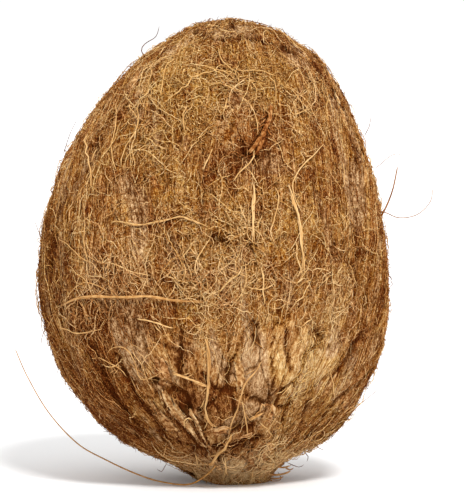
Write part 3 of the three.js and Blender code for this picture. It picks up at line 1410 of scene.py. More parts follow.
        def swayed(axis: int) -> Any:
            """One direction's wander, about zero."""
            return bench.product(bench.less(sway[axis], 0.5), swing)

        forward = bench.total(bench.product(bench.less(step, 0.5), reach), swayed(1))
        place = bench.vector("ADD", start, bench.scaled(along, forward))
        place = bench.vector("ADD", place, bench.scaled(aside, bench.product(swayed(0), 2.0)))

        sockets = {"Geometry": self.husk, "Sample Position": place}
        nearest = bench.add("GeometryNodeProximity", sockets, target_element="FACES")
        normal = bench.add("GeometryNodeInputNormal").outputs[0]
        sockets = {"Mesh": self.husk, "Value": normal, "Sample Position": place}
        facing = bench.add("GeometryNodeSampleNearestSurface", sockets, data_type="FLOAT_VECTOR")
        middle = bench.product(step, bench.less(1.0, step), 4.0)
        over = bench.product(middle, bench.product(given["Arch"], bench.product(sway[2], 2.0)))
        flare = bench.product(given["Flare"], self.named("free"))
        tip = bench.product(bench.math("POWER", step, 2.0), flare)
        height = bench.total(given["Lift"], bench.total(over, tip))
        raised = bench.scaled(facing.outputs["Value"], height)
        place = bench.vector("ADD", nearest.outputs["Position"], raised)
        curves = self.store(curves, "step", step)
        return bench.add("GeometryNodeSetPosition", {"Geometry": curves, "Position": place}).outputs[0]

    def flesh_out(self, curves: Any) -> NodeSocket:
        """Gives the strands their thickness, their map and their finish.

        Args:
            curves: The strands where they lie.

        Returns:
            The fibres' mesh.
        """
        bench = self.bench
        twice = bench.product(self.named("step"), 2.0)
        edge = bench.math("ABSOLUTE", bench.less(twice, 1.0))
        narrow = bench.product(bench.math("POWER", edge, 3.0), self.TIP_TAPER)
        scale = bench.product(self.named("thick"), 0.5, bench.less(1.0, narrow))
        ring = bench.add("GeometryNodeCurvePrimitiveCircle", {"Resolution": self.SIDES, "Radius": 1.0})
        sockets = {"Curve": curves, "Profile Curve": ring.outputs["Curve"], "Scale": scale}
        sockets["Fill Caps"] = True
        mesh = bench.add("GeometryNodeCurveToMesh", sockets).outputs["Mesh"]
        held = []
        for name, step in (("tone", 7), ("hue", 8)):
            value = bench.product(self.named(name), MAP_SPAN)
            value = bench.total(value, self.random(0.0, self.MAP_WIDTH, step))
            held.append(bench.ranged(value, 0.0, 1.0, 0.01, 0.99))
        place = bench.add("ShaderNodeCombineXYZ", dict(enumerate(held))).outputs[0]
        mesh = self.store(mesh, FIBRE_MAP, place, "FLOAT2", "CORNER")
        mesh = bench.add("GeometryNodeSetShadeSmooth", {"Geometry": mesh, "Shade Smooth": True}).outputs[0]
        mesh = bench.add("GeometryNodeRealizeInstances", {"Geometry": mesh}).outputs[0]
        sockets = {"Geometry": mesh, "Material": self.given["Finish"]}
        return bench.add("GeometryNodeSetMaterial", sockets).outputs[0]

    def identifier(self, name: str) -> str:
        """The identifier of a named input."""
        items = self.tree.interface.items_tree
        return next(i.identifier for i in items if i.name == name and i.in_out == "INPUT")


def painted_area(husk: Object, share: Share) -> float:
    """The husk's area weighed by a painted share.

    Args:
        husk: The husk skin.
        share: The painted layer.

    Returns:
        The area, in square metres.
    """
    mesh = husk.data
    weights = np.zeros(len(mesh.vertices), np.float32)
    mesh.attributes[share.value].data.foreach_get("value", weights)
    areas = np.zeros(len(mesh.polygons), np.float32)
    mesh.polygons.foreach_get("area", areas)
    starts = np.zeros(len(mesh.polygons), int)
    mesh.polygons.foreach_get("loop_start", starts)
    corners = np.zeros(len(mesh.loops), int)
    mesh.loops.foreach_get("vertex_index", corners)
    counts = np.diff(np.append(starts, len(corners)))
    means = np.add.reduceat(weights[corners], starts) / counts
    return float(means @ areas)


@dataclass
class CoirLayer:
    """All the fibres of one kind."""

    coir: Coir
    tree: FibreTree
    finish: Material

    def build(self, husk: Object) -> list[Object]:
        """Lays the fibres on the husk.

        Args:
            husk: The skin that they lie on.

        Returns:
            The pieces.
        """
        density = self.coir.count / painted_area(husk, self.coir.share)
        return [self.piece(husk, density, number) for number in range(self.coir.pieces)]

    def settings(self, husk: Object, density: float, number: int) -> dict[str, Any]:
        """The tree's inputs for one piece of the layer.

        Args:
            husk: The skin that the fibres lie on.
            density: Fibres to the square metre where the share is 1.
            number: Which piece of the layer this is.

        Returns:
            Each input's value by its name.
        """
        coir = self.coir
        values = {
            "Husk": husk,
            "Where": coir.share.value,
            "Steps": coir.steps,
            "Seed": coir.seed * 100 + number,
            "Finish": self.finish,
            "Density": density,
            "Fan": math.radians(coir.fan),
            "Bend": coir.bend,
            "Turns": coir.turns,
            "Length Spread": coir.length_spread,
            "Thickness Spread": coir.thickness_spread,
        }
        for size in ("Length", "Thickness", "Lift", "Arch", "Flare"):
            values[size] = getattr(coir, size.lower()) * MM
        for kind, (low, high) in (("Tone", coir.tone), ("Hue", coir.hue)):
            values[f"{kind} Low"] = low
            values[f"{kind} High"] = high
        return values

    def piece(self, husk: Object, density: float, number: int) -> Object:
        """One piece's worth of fibres as a plain mesh.

        Args:
            husk: The skin that they lie on.
            density: Fibres to the square metre where the share is 1.
            number: Which piece of the layer this is.

        Returns:
            The piece.
        """
        name = f"{self.coir.name}_{number + 1}" if self.coir.pieces > 1 else self.coir.name
        piece = placed(name, bpy.data.meshes.new(name))
        modifier = piece.modifiers.new("fibres", "NODES")
        modifier.node_group = self.tree.tree
        for key, value in self.settings(husk, density, number).items():
            modifier[self.tree.identifier(key)] = value
        depsgraph = bpy.context.evaluated_depsgraph_get()
        mesh = bpy.data.meshes.new_from_object(piece.evaluated_get(depsgraph), depsgraph=depsgraph)
        piece.modifiers.remove(modifier)
        piece.data = mesh
        mesh.name = name
        for scratch in FIBRE_SCRATCH:
            if scratch in mesh.attributes:
                mesh.attributes.remove(mesh.attributes[scratch])
        places = np.zeros(len(mesh.vertices) * 3, np.float32)
        mesh.vertices.foreach_get("co", places)
        places[2::3] = np.maximum(places[2::3], 0.0)
        mesh.vertices.foreach_set("co", places)
        return piece


# each kind's share, pieces, count, length, spread, thickness, spread, steps, fan, bend, turns,
# lift, arch, flare, tones, hues and seed
COIR_KINDS = (
    Coir("grain_fibres", Share.GRAIN, 2, 4700, 10.0, 0.5, 0.22, 0.5, 7, 7.0, 0.08, 1.5, 0.06, 0.08, 0.05,
         (0.02, 0.84), (0.0, 0.75), 3),
    Coir("mat_crumbs", Share.MAT, 3, 9600, 0.85, 0.5, 0.22, 0.4, 3, 180.0, 0.9, 1.7, 0.05, 0.25, 0.3,
         (0.02, 1.05), (0.05, 0.85), 5),
    Coir("mat_fibres", Share.MAT, 2, 2300, 3.0, 0.6, 0.15, 0.4, 7, 180.0, 0.45, 1.8, 0.12, 0.35, 0.3,
         (0.34, 0.86), (0.1, 0.8), 6),
    Coir("curls", Share.CURL, 2, 900, 6.0, 0.6, 0.19, 0.4, 12, 180.0, 0.32, 1.9, 0.25, 0.7, 0.6,
         (0.66, 1.0), (0.15, 0.75), 7),
    Coir("long_coir", Share.CURL, 1, 480, 13.0, 0.5, 0.22, 0.4, 18, 70.0, 0.2, 1.7, 0.3, 0.8, 0.5,
         (0.7, 1.0), (0.2, 0.8), 12),
    Coir("straw_fibres", Share.STRAW, 1, 650, 3.6, 0.5, 0.2, 0.4, 7, 45.0, 0.3, 1.8, 0.1, 0.3, 0.3,
         (0.15, 0.85), (0.3, 0.8), 8),
    Coir("fuzz", Share.FUZZ, 1, 7500, 2.0, 0.5, 0.17, 0.3, 4, 180.0, 0.4, 1.0, 0.04, 0.1, 1.6,
         (0.05, 0.5), (0.1, 0.7), 9),
    Coir("torn_fringe", Share.FRINGE, 1, 3000, 2.4, 0.5, 0.18, 0.4, 6, 40.0, 0.4, 1.5, 0.06, 0.2, 0.8,
         (0.15, 0.85), (0.1, 0.7), 11),
)


# ---------------- torn flaps


@dataclass(frozen=True)
class Flap:
    """A thin torn sheet of husk on the front, as it is seen: fast at its root, free at its tip."""

    root: Pair
    tip: Pair
    wide: float
    rise: float = 0.5
    tone: float = 0.50
    hue: float = 0.4
    lift: float = 0.1


@dataclass
class HuskFlaps:
    """Thin sheets of husk that have torn loose at one end."""

    skin: HuskSkin
    finish: Material
    cell: float = 0.45  # mm between a sheet's points
    thickness: float = 0.3
    root_sink: float = 0.6
    edge_curl: float = 0.15
    jag: float = 0.09
    waist_jag: float = 0.07
    root_waist: float = 0.25  # how much narrower a sheet is at its root
    ruffle: float = 0.05
    round_tip: float = 0.22
    streak: float = 0.13  # how far a sheet's streaks move its tone
    speckle: float = 0.07
    # a sheet is darker towards its root; its underside is darker still, as painted shade
    root_shade: float = 0.10
    underside_painted_shade: float = 0.25
    scattered: int = 34
    seed: int = 31
    flaps: tuple[Flap, ...] = (
        Flap((-2.6, 7.6), (-13.2, 24.2), 5.6, 0.5, 0.58, 0.4),
        Flap((-6, 9), (-17, 22), 3.2, 0.3, 0.5, 0.3), Flap((-1.2, 7.6), (-6.2, 19.6), 3.0, 0.5, 0.6, 0.4),
        Flap((-13.5, 25.5), (-15.5, 35), 4.0, 0.3, 0.42, 0.1),
        Flap((8.2, 22), (7.0, 34.5), 2.6, 0.4, 0.56, 0.5),
        Flap((-2.4, 13.4), (4.4, 15.2), 2.8, 0.5, 0.5, 0.1),
        Flap((4.2, 10.4), (11, 13.6), 2.6, 0.5, 0.46, 0.1),
        Flap((13.5, 12), (14.5, 22), 4.0, 0.3, 0.46, 0.1), Flap((2, 1.2), (0.6, 6.6), 5.0, 0.5, 0.54, 0.4),
        Flap((10.5, 1.2), (10.5, 9.2), 5.6, 0.6, 0.5, 0.1),
        Flap((15, 3), (15.5, 10.5), 4.4, 0.5, 0.5, 0.2),
        Flap((21.5, 11), (18.2, 2.4), 2.6, 0.8, 0.58, 0.6),
        Flap((-27, 104), (-20, 116), 2.2, 0.3, 0.54, 0.4),
        Flap((-33.5, 99), (-27, 111), 1.6, 0.3, 0.5, 0.4),
        Flap((37, 102), (28.5, 119), 2.0, 0.7, 0.5, 0.4), Flap((40, 92), (34, 109), 1.3, 0.5, 0.54, 0.5),
        Flap((43, 78), (41.5, 92), 1.6, 0.4, 0.54, 0.6), Flap((41, 44), (38, 54), 2.4, 0.6, 0.5, 0.3),
        Flap((28, 20), (34, 30), 2.4, 0.4, 0.46, 0.4), Flap((30, 13), (39, 27), 2.2, 0.4, 0.46, 0.4),
    )

    def sheet(
        self, shape: BMesh, root: Array, tip: Array, flap: Flap,
        draw: Draw,
    ) -> None:
        """Adds one closed thin sheet that follows the husk.

        Args:
            shape: The mesh that it is added to.
            root: Where it is fast, in metres.
            tip: Where it ends, in metres.
            flap: Its sizes and colour.
            draw: The source of its raggedness.
        """
        along = tip - root
        facing = self.skin.nearest((root + tip) / 2)[1]
        aside = unit(np.cross(facing, along))
        rows = max(4, int(np.linalg.norm(along) / MM / self.cell))
        columns = max(3, int(flap.wide / self.cell))
        bow = np.linspace(-1.0, 1.0, columns + 1) ** 2
        jagged = 1.0 - self.round_tip * bow + self.jag * draw.normal(size=columns + 1)
        waist = 1.0 + self.waist_jag * draw.normal(size=rows + 1)
        waist -= self.root_waist * np.linspace(1, 0, rows + 1) ** 2
        streak = flap.tone + self.streak * draw.normal(size=columns + 1)
        layer = shape.loops.layers.uv.verify()
        top, under, tones_with_painted_shade = [], [], {}
        for i, j in itertools.product(range(rows + 1), range(columns + 1)):
            u, v = i / rows, 2.0 * j / columns - 1.0
            ahead = along * u * (1.0 + (jagged[j] - 1.0) * u)
            place = root + ahead + aside * v * waist[i] * flap.wide * MM / 2
            place, out = self.skin.nearest(place)
            lift = flap.rise * u * u + self.edge_curl * v * v * u - self.root_sink * (1.0 - u) ** 3
            lift += self.ruffle * draw.normal()
            place = place + out * (lift + flap.lift) * MM
            place[2] = max(place[2], self.thickness * MM)
            top.append(shape.verts.new(place))
            under.append(shape.verts.new(place - out * self.thickness * MM))
            # each point's tone: streaks and speckle, darker towards the root, and painted shade underneath
            tones_with_painted_shade[top[-1]] = streak[j] + self.speckle * draw.normal() - self.root_shade * (1.0 - u) ** 2
            tones_with_painted_shade[under[-1]] = tones_with_painted_shade[top[-1]] - self.underside_painted_shade

        def at(grid: list[Any], i: int, j: int) -> Any:
            """The point in a row and column."""
            return grid[i * (columns + 1) + j]

        faces = []
        for i, j in itertools.product(range(rows), range(columns)):
            ring = ((i, j), (i, j + 1), (i + 1, j + 1), (i + 1, j))
            faces.append([at(top, *spot) for spot in ring])
            faces.append([at(under, *spot) for spot in reversed(ring)])
        rim = [(0, j) for j in range(columns)] + [(i, columns) for i in range(rows)]
        rim += [(rows, j) for j in range(columns, 0, -1)] + [(i, 0) for i in range(rows, 0, -1)]
        for spot, after in zip(rim, rim[1:] + rim[:1]):
            faces.append([at(top, *after), at(top, *spot), at(under, *spot), at(under, *after)])
        for corners in faces:
            face = shape.faces.new(corners)
            face.smooth = True
            for loop, (u, v) in zip(face.loops, MAP_CORNERS):
                loop[layer].uv = (on_map(tones_with_painted_shade[loop.vert]) + u, on_map(flap.hue) + v)

    def build(self) -> Object:
        """Builds all the sheets, those listed and a scatter behind them, as one piece.

        Returns:
            The piece.
        """
        draw = np.random.default_rng(self.seed)
        shape = bmesh.new()
        for flap in self.flaps:
            self.sheet(shape, self.skin.drop(*flap.root)[0], self.skin.drop(*flap.tip)[0], flap, draw)
        height = self.skin.base[:, 2] / MM
        spots = np.flatnonzero((self.skin.base[:, 1] > -0.008) & (height > 4.0) & (height < 120.0))
        low = np.exp(-height[spots] / 30.0) + 0.12
        for spot in draw.choice(spots, self.scattered, p=low / low.sum()):
            reach = draw.uniform(5.0, 13.0) * MM * draw.choice((-1.0, 1.0), p=(0.35, 0.65))
            root = self.skin.base[spot]
            tip = self.skin.nearest(root + reach * self.skin.way[spot])[0]
            wide, rise, tone = draw.uniform(1.2, 3.8), draw.uniform(0.2, 0.7), draw.uniform(0.38, 0.58)
            flap = Flap((0, 0), (0, 0), wide, rise, tone, draw.uniform(0.1, 0.6))
            self.sheet(shape, root, tip, flap, draw)
        return finished("husk_flaps", shape, self.finish)


# ---------------- loose strands


@dataclass(frozen=True)
class Strand:
    """A loose strand laid over the front, seen from the front: across and up."""

    route: Route
    thickness: float = 0.35
    tone: float = 0.88
    hue: float = 0.6
    arch: float = 0.7
    plies: int = 1


@dataclass(frozen=True)
class Stray:
    """A strand that leaves the nut: its points are across and up, at one depth or at one each."""

    route: Route
    deep: float | tuple[float, ...]
    thickness: float = 0.2
    tone: float = 0.45
    hue: float = 0.3


# each strand's route, thickness, tone, hue, arch and plies
FRONT_STRANDS = (
    Strand(
        ((-43, 49), (-39, 51), (-34, 52), (-26, 52), (-17, 52), (-11, 51), (-2, 50.6)),
        0.44, 0.78, 0.5, 1.2, 4,
    ),
    Strand(((-43, 49), (-45, 46), (-47, 42)), 0.3, 0.6, 0.4, 0.2, 2),
    Strand(((-42, 50), (-39, 54), (-36, 56), (-32, 55), (-29, 53)), 0.32, 0.75),
    Strand(((-44, 47), (-42, 44), (-39, 42), (-36, 42), (-31, 43)), 0.36, 0.82),
    Strand(
        ((-29, 73), (-26, 73), (-21, 72), (-15, 73), (-9, 74), (-5, 73), (-1, 71)),
        0.34, 0.88, 0.7, 0.6, 2,
    ),
    Strand(((11.8, 93.5), (10.2, 90), (8, 87.4), (5, 84)), 0.42, 0.86),
    Strand(((-36, 73), (-36, 68), (-35, 63), (-34, 60)), 0.3, 0.78),
    Strand(((-44, 69), (-40, 66), (-37, 63), (-33, 61)), 0.28, 0.75),
    Strand(((-33, 62), (-27, 61), (-23, 59), (-17, 58)), 0.34, 0.9),
    Strand(((-12, 59), (-9, 55), (-6, 53)), 0.26, 0.85),
    Strand(((-1, 69), (-4, 63), (-5, 60), (-4, 56)), 0.36, 0.92),
    Strand(((-5, 68), (-7, 65), (-10, 62)), 0.3, 0.88), Strand(((-9, 62), (-8, 59), (-9, 56)), 0.34, 0.9),
    Strand(((-22, 46), (-17, 45), (-11, 43)), 0.46, 0.92),
    Strand(((-2, 40), (-1.6, 31), (-1.6, 26), (-2, 21), (-1.3, 17), (1.4, 15)), 0.5, 0.8, 0.5, 0.6, 2),
    Strand(((-2, 41), (-1.8, 36), (-1.6, 30)), 0.55, 0.74, 0.6, 0.6, 2),
    Strand(((-12, 30.6), (-6.7, 29), (-1.6, 26.5)), 0.5, 0.86, 0.5, 0.7, 2),
    Strand(((-2.2, 23.6), (-4.4, 20.2)), 0.3, 0.85),
    Strand(((13.7, 34), (8.6, 27), (6.9, 20.7), (4.9, 16.6), (4.7, 12.5)), 0.46, 0.78, 0.4, 0.8),
    Strand(((4.8, 13.5), (4.6, 12), (2.5, 9.1), (0.2, 6), (-1.6, 4.4)), 0.6, 0.76, 0.6, 0.7, 2),
    Strand(((7.9, 23), (8.6, 18.7), (10, 12.5)), 0.42, 0.82, 0.5, 0.6),
    Strand(((-5.4, 8.4), (-3.7, 3.6)), 0.32, 0.8), Strand(((11.4, 4.4), (10.8, 2), (9.8, 1)), 0.32, 0.84),
    Strand(((12.6, 16.8), (16, 14.4)), 0.26, 0.86),
    Strand(
        ((-30, 35), (-29, 37), (-26, 38), (-23, 36), (-21, 30), (-19, 29), (-14, 31)),
        0.26, 0.8, 0.6, 0.8,
    ),
    Strand(((-33, 35), (-30, 34), (-27, 32), (-24, 29)), 0.28, 0.78),
    Strand(((-8.4, 14.6), (-8.4, 17.3), (-7.1, 18.1), (-5.4, 16.6)), 0.34, 0.95, 0.7),
    Strand(((-36, 56), (-33, 51), (-31, 47)), 0.26, 0.55, 0.5),
    Strand(((-35, 98), (-35, 94), (-34, 88), (-34, 82)), 0.46, 0.88),
    Strand(((-32, 94), (-34, 89)), 0.3, 0.85),
    Strand(((-27, 107), (-27, 101), (-28, 95), (-28, 91), (-27, 87)), 0.34, 0.8, 0.7),
    Strand(((-21, 106), (-21, 100), (-23, 96), (-25, 92), (-26, 88)), 0.4, 0.84, 0.8),
    Strand(((-17, 112), (-18, 109), (-20, 107), (-22, 103)), 0.36, 0.85, 0.8),
    Strand(((-10, 119), (-13, 116), (-14, 111), (-15, 108)), 0.36, 0.8, 0.9),
    Strand(((-18, 117), (-17, 114), (-18, 111), (-19, 107)), 0.3, 0.82, 0.9),
    Strand(((-7, 106), (-8, 102), (-8, 98)), 0.34, 0.88, 0.7),
    Strand(((0, 94), (-1, 91), (-3, 87)), 0.34, 0.9),
    Strand(
        ((-14, 106), (-11, 108), (-7, 111), (-6, 113), (-3, 114), (2, 115), (7, 112)),
        0.34, 0.84, 0.9,
    ),
    Strand(((1, 122), (2, 118), (4, 116), (7, 113)), 0.32, 0.86, 1.0),
    Strand(((4, 108), (3, 105), (2, 103)), 0.32, 0.86, 0.9),
    Strand(((7, 108), (9, 107), (11, 104), (12, 101), (12, 97)), 0.32, 0.92),
    Strand(
        ((31, 95), (27, 91), (24, 88), (23, 86), (22, 83), (23, 79), (25, 75)),
        0.34, 0.95, 0.6, 0.8,
    ),
    Strand(((21, 84), (22, 79), (23.5, 74), (24, 68), (24.7, 63), (25, 58)), 0.52, 0.97, 0.6, 0.9, 2),
    Strand(((23, 68), (23, 63), (24, 60), (25, 57)), 0.34, 0.92),
    Strand(((11, 84), (11, 79), (11, 74), (11, 67)), 0.55, 0.95, 0.6, 0.7, 2),
    Strand(((17, 83), (18, 80), (17, 74), (16, 70), (17, 66)), 0.34, 0.9),
    Strand(((19, 107), (21, 105), (22, 103), (28, 105)), 0.28, 0.86, 0.7),
    Strand(((15, 114), (17, 111), (17, 106)), 0.3, 0.84, 0.8),
    Strand(((9, 114), (11, 111), (12, 108)), 0.28, 0.84, 0.9),
    Strand(((5, 116), (8, 115), (13, 115), (16, 114), (18, 114)), 0.28, 0.84, 0.9),
    Strand(((36, 90), (36, 85), (36, 82)), 0.3, 0.8), Strand(((7, 79), (8, 75), (10, 73)), 0.36, 0.9),
    Strand(((9, 62), (9, 56), (7, 52), (4, 48)), 0.34, 0.9),
    Strand(((13, 61), (14, 55), (14, 49)), 0.44, 0.9, 0.7),
    Strand(((8, 55), (13, 54), (17, 56), (15, 58)), 0.3, 0.88),
    Strand(((3, 60), (8, 58), (10, 57)), 0.26, 0.86), Strand(((28, 46), (26, 45), (24, 43)), 0.3, 0.9, 0.7),
    Strand(((32, 58), (30, 55)), 0.28, 0.86), Strand(((32, 33), (33, 28), (34, 23)), 0.3, 0.84),
    Strand(((22, 28), (19, 24)), 0.34, 0.9, 0.8), Strand(((41, 70), (43, 71), (46, 70)), 0.22, 0.82),
    Strand(((9.6, 17.3), (12.4, 18.8), (14.6, 19.4)), 0.45, 0.72, 0.5, 0.5, 2),
    Strand(((3.2, 7.4), (4.2, 1.4)), 0.36, 0.88),
)

# each stray's route, depth, thickness, tone and hue
FRONT_STRAYS = (
    Stray(
        ((1, 7), (-2, 3.6), (-7, 0.7), (-15, 1.2), (-22, 3.4), (-30, 7), (-38, 11.5), (-46, 20),
         (-52, 30), (-55.5, 38)),
        (-22, -19, -16, -13, -12, -11, -10, -9, -8, -8), 0.5, 0.46, 0.9,
    ),
    Stray(((-18, 118), (-20, 121), (-19, 123), (-16, 125), (-15, 128)), -8, 0.32, 0.02, 0.2),
    Stray(((-42, 92), (-40, 98), (-38, 102)), -6, 0.26, 0.05, 0.2),
    Stray(((-46.5, 66), (-48.5, 70), (-50, 74)), -8, 0.26, 0.1, 0.2),
    Stray(((-45.5, 46), (-47.5, 42), (-48, 39)), -12, 0.28, 0.15),
    Stray(((44.5, 72), (47.5, 76), (50, 82), (51.5, 89)), -6, 0.62, 0.28),
    Stray(((44, 77), (48, 76), (52, 74.5), (57, 75.5), (60.5, 79), (61.2, 83)), -8, 0.32, 0.3),
    Stray(((45, 88), (50, 92), (53, 92)), -6, 0.22, 0.25),
    Stray(((42, 97), (43.5, 100), (44, 103)), -6, 0.26, 0.08, 0.2),
    Stray(((47.5, 54.5), (50, 55)), -10, 0.22, 0.4, 0.4),
    Stray(((36, 18), (41, 22.5), (46.5, 27)), -10, 0.24, 0.2),
    Stray(((-13, 6), (-14.5, 3.5), (-16, 4.5)), -9, 0.26, 0.1),
    Stray(((14.5, 2.6), (17.6, 2.2), (20.2, 2.7), (21.8, 3.4)), -6, 0.8, 0.62),
    Stray(((15.5, 1.2), (18.2, 1.2), (19.8, 1.9)), -6, 0.6, 0.55),
    Stray(((17, 4.6), (19.8, 4.2), (22, 4.9)), -5, 0.7, 0.6),
    Stray(((19.5, 4.6), (21.4, 3.4), (22.6, 4.1)), -4, 0.55, 0.5, 0.4),
    Stray(((18, 3), (19, 1.2), (18.4, 0.3)), -4, 0.3, 0.2),
    Stray(((20.5, 5.5), (24, 4.2), (25.5, 5)), -4, 0.26, 0.1),
    Stray(((25, 9), (26.6, 7.2), (26.2, 5.6)), -4, 0.3, 0.05),
    Stray(((28, 11.5), (29.6, 9.6), (31.5, 8.9)), -4, 0.28, 0.1),
    Stray(((15, 1.4), (16.6, 0.5), (19, 0.7)), -6, 0.4, 0.5, 0.4),
    Stray(((-1, 2.5), (-2.2, 1), (-1.6, 0.4)), -8, 0.26, 0.3),
    Stray(((11, 2), (12.5, 0.7), (14, 0.4)), -10, 0.3, 0.3),
)

RED_SHARD = (
    Strand(((15.9, 106), (14.9, 102.5), (13.0, 98), (10.8, 93.5)), 0.7, 0.52, 0.0, 0.7, 3),
    Strand(((15.5, 104.5), (14.0, 100), (12.2, 96.5), (9.6, 92)), 0.7, 0.45, 0.0, 0.6, 3),
    Strand(((15.4, 101.5), (14.8, 98.5), (13.6, 95.0)), 0.9, 0.26, 0.0, 0.3, 3),
    Strand(((14.6, 97.5), (13.4, 94.5), (12.2, 91.5)), 0.8, 0.24, 0.0, 0.3, 3),
)


@dataclass
class LooseStrands:
    """The long loose strands of the front, and the strays that break the outline."""

    skin: HuskSkin
    finish: Material
    name: str = "loose_strands"
    spacing: float = 0.9
    sides: int = 5
    smoothing: int = 8
    tone_share: float = 0.86
    kink: float = 0.07
    twist: float = 1.5  # how fast the plies wander round each other
    ply_swing: float = 0.42  # in strand thicknesses
    ply_shade: float = 0.05
    knobbles: float = 0.15
    end_taper: float = 0.6
    shade_swing: float = 0.08
    shade_turns: float = 2500.0  # radians to a metre across
    stray_taper: float = 0.45
    twigs: int = 2  # short branches of a strand
    seed: int = 21
    strands: tuple[Strand, ...] = FRONT_STRANDS
    strays: tuple[Stray, ...] = FRONT_STRAYS

    def branches(self, strand: Strand, draw: Draw) -> list[Strand]:
        """Short thin fibres that leave a strand on either side.

        Args:
            strand: The strand.
            draw: The source of their places and angles.

        Returns:
            The branches.
        """
        route = curve_through(np.array(strand.route, float), self.spacing)
        found = []
        for start in draw.integers(1, len(route) - 1, self.twigs):
            ahead = unit(route[start + 1] - route[start - 1])
            aside = np.array([-ahead[1], ahead[0]]) * draw.choice((-1.0, 1.0))
            reach, lean, turn = draw.uniform(1.6, 4.5), draw.uniform(0.3, 1.1), draw.uniform(-0.5, 0.5)
            middle = route[start] + reach * 0.5 * unit(ahead + lean * aside)
            end = middle + reach * 0.5 * unit(ahead + (lean + turn) * aside)
            points = tuple(tuple(point) for point in (route[start], middle, end))
            found.append(Strand(points, 0.62 * strand.thickness, 0.94 * strand.tone, strand.hue, 0.3))
        return found

    def laid(self, strand: Strand, draw: Draw) -> tuple[Array, Array]:
        """A strand's centre line over the husk, and how the husk faces under it.

        Args:
            strand: The strand.
            draw: The source of its kinks.

        Returns:
            The places in metres and the unit directions.
        """
        route = curve_through(np.array(strand.route, float), self.spacing)
        sway = draw.normal(size=route.shape)
        route[1:-1] += self.kink / strand.plies * (sway[:-2] + sway[1:-1] + sway[2:]) / 1.7
        found = [self.skin.drop(x, z) for x, z in route]
        places = np.array([place for place, _ in found])
        facing = unit(np.array([out for _, out in found]))
        for _ in range(self.smoothing):
            facing[1:-1] = unit(facing[:-2] + 2 * facing[1:-1] + facing[2:])
            inner = (places[:-2] + 2 * places[1:-1] + places[2:]) / 4
            outward = np.sum((inner - places[1:-1]) * facing[1:-1], axis=1)
            places[1:-1] += facing[1:-1] * np.maximum(outward, 0.0)[:, None]
        share = np.linspace(0.0, 1.0, len(places))
        lift = strand.thickness * 0.5 + strand.arch * np.sin(np.pi * share) ** 0.5
        return places + facing * (lift * MM)[:, None], facing

    def tube(
        self, shape: BMesh, line: Array, facing: Array, radius: Array,
        tone: float, hue: float,
    ) -> None:
        """Adds a closed tube with pointed ends round a line.

        Args:
            shape: The mesh that it is added to.
            line: The centre line, in metres.
            facing: A direction across the line at each point.
            radius: The radius at each point, in metres.
            tone: The strand's tone.
            hue: The strand's hue.
        """
        layer = shape.loops.layers.uv.verify()
        ahead = unit(np.gradient(line, axis=0))
        across = unit(np.cross(ahead, facing))
        over = np.cross(across, ahead)
        angles = 2 * np.pi * np.arange(self.sides) / self.sides
        rings = []
        for centre, x, y, size in zip(line[1:-1], across[1:-1], over[1:-1], radius[1:-1]):
            ring = [shape.verts.new(centre + size * (math.cos(a) * x + math.sin(a) * y)) for a in angles]
            rings.append(ring)
        first, last = shape.verts.new(line[0]), shape.verts.new(line[-1])
        faces = []
        beside = [(k, (k + 1) % self.sides) for k in range(self.sides)]
        for ring, after in zip(rings, rings[1:]):
            for k, n in beside:
                faces.append(shape.faces.new((ring[k], ring[n], after[n], after[k])))
        for k, n in beside:
            faces.append(shape.faces.new((first, rings[0][n], rings[0][k])))
            faces.append(shape.faces.new((last, rings[-1][k], rings[-1][n])))
        for face in faces:
            face.smooth = True
            shade = tone + self.shade_swing * math.sin(face.calc_center_median().x * self.shade_turns)
            for corner, (u, v) in zip(face.loops, MAP_CORNERS):
                corner[layer].uv = (on_map(shade) + u, hue * MAP_SPAN + v)

    def plied(self, shape: BMesh, strand: Strand, draw: Draw) -> None:
        """Adds a strand as one fibre, or as a few that wander round each other.

        Args:
            shape: The mesh that it is added to.
            strand: The strand.
            draw: The source of its unevenness.
        """
        line, facing = self.laid(strand, draw)
        share = np.linspace(0.0, 1.0, len(line))
        aside = unit(np.cross(np.gradient(line, axis=0), facing))
        swing = self.ply_swing * strand.thickness * MM if strand.plies > 1 else 0.0
        taper = 1.0 - self.end_taper * np.abs(2 * share - 1) ** 4
        for ply in range(strand.plies):
            phase = self.twist * np.cumsum(draw.normal(0.25, 0.2, len(line)))
            phase = 2 * np.pi * ply / strand.plies + phase
            across, over = swing * np.cos(phase), swing * np.sin(phase)
            own = line + aside * across[:, None] + facing * over[:, None]
            knobbly = 1.0 + self.knobbles * draw.normal(size=len(line))
            radius = 0.5 * strand.thickness * MM * knobbly * taper
            own[:, 2] = np.maximum(own[:, 2], radius)
            tone = self.tone_share * strand.tone - self.ply_shade * ply
            self.tube(shape, own, facing, radius, tone, strand.hue)

    def loosened(self, shape: BMesh, stray: Stray) -> None:
        """Adds a stray, thinner towards its tip.

        Args:
            shape: The mesh that it is added to.
            stray: The stray.
        """
        points = np.insert(np.array(stray.route, float), 1, stray.deep, axis=1)
        line = curve_through(points, self.spacing) * MM
        line[:, 2] = np.maximum(line[:, 2], stray.thickness * MM)
        share = np.linspace(0.0, 1.0, len(line))
        radius = 0.5 * stray.thickness * MM * (1.0 - self.stray_taper * share)
        facing = np.broadcast_to(FRONT, line.shape)
        self.tube(shape, line, facing, radius, stray.tone, stray.hue)

    def build(self) -> list[Object]:
        """Builds the strands with their branches as one piece, and any strays as another.

        Returns:
            The pieces.
        """
        draw = np.random.default_rng(self.seed)
        laid = bmesh.new()
        for strand in self.strands:
            for fibre in (strand, *self.branches(strand, draw)):
                self.plied(laid, fibre, draw)
        pieces = [finished(self.name, laid, self.finish)]
        if self.strays:
            free = bmesh.new()
            for stray in self.strays:
                self.loosened(free, stray)
            pieces.append(finished("stray_strands", free, self.finish))
        return pieces


# ---------------- studio


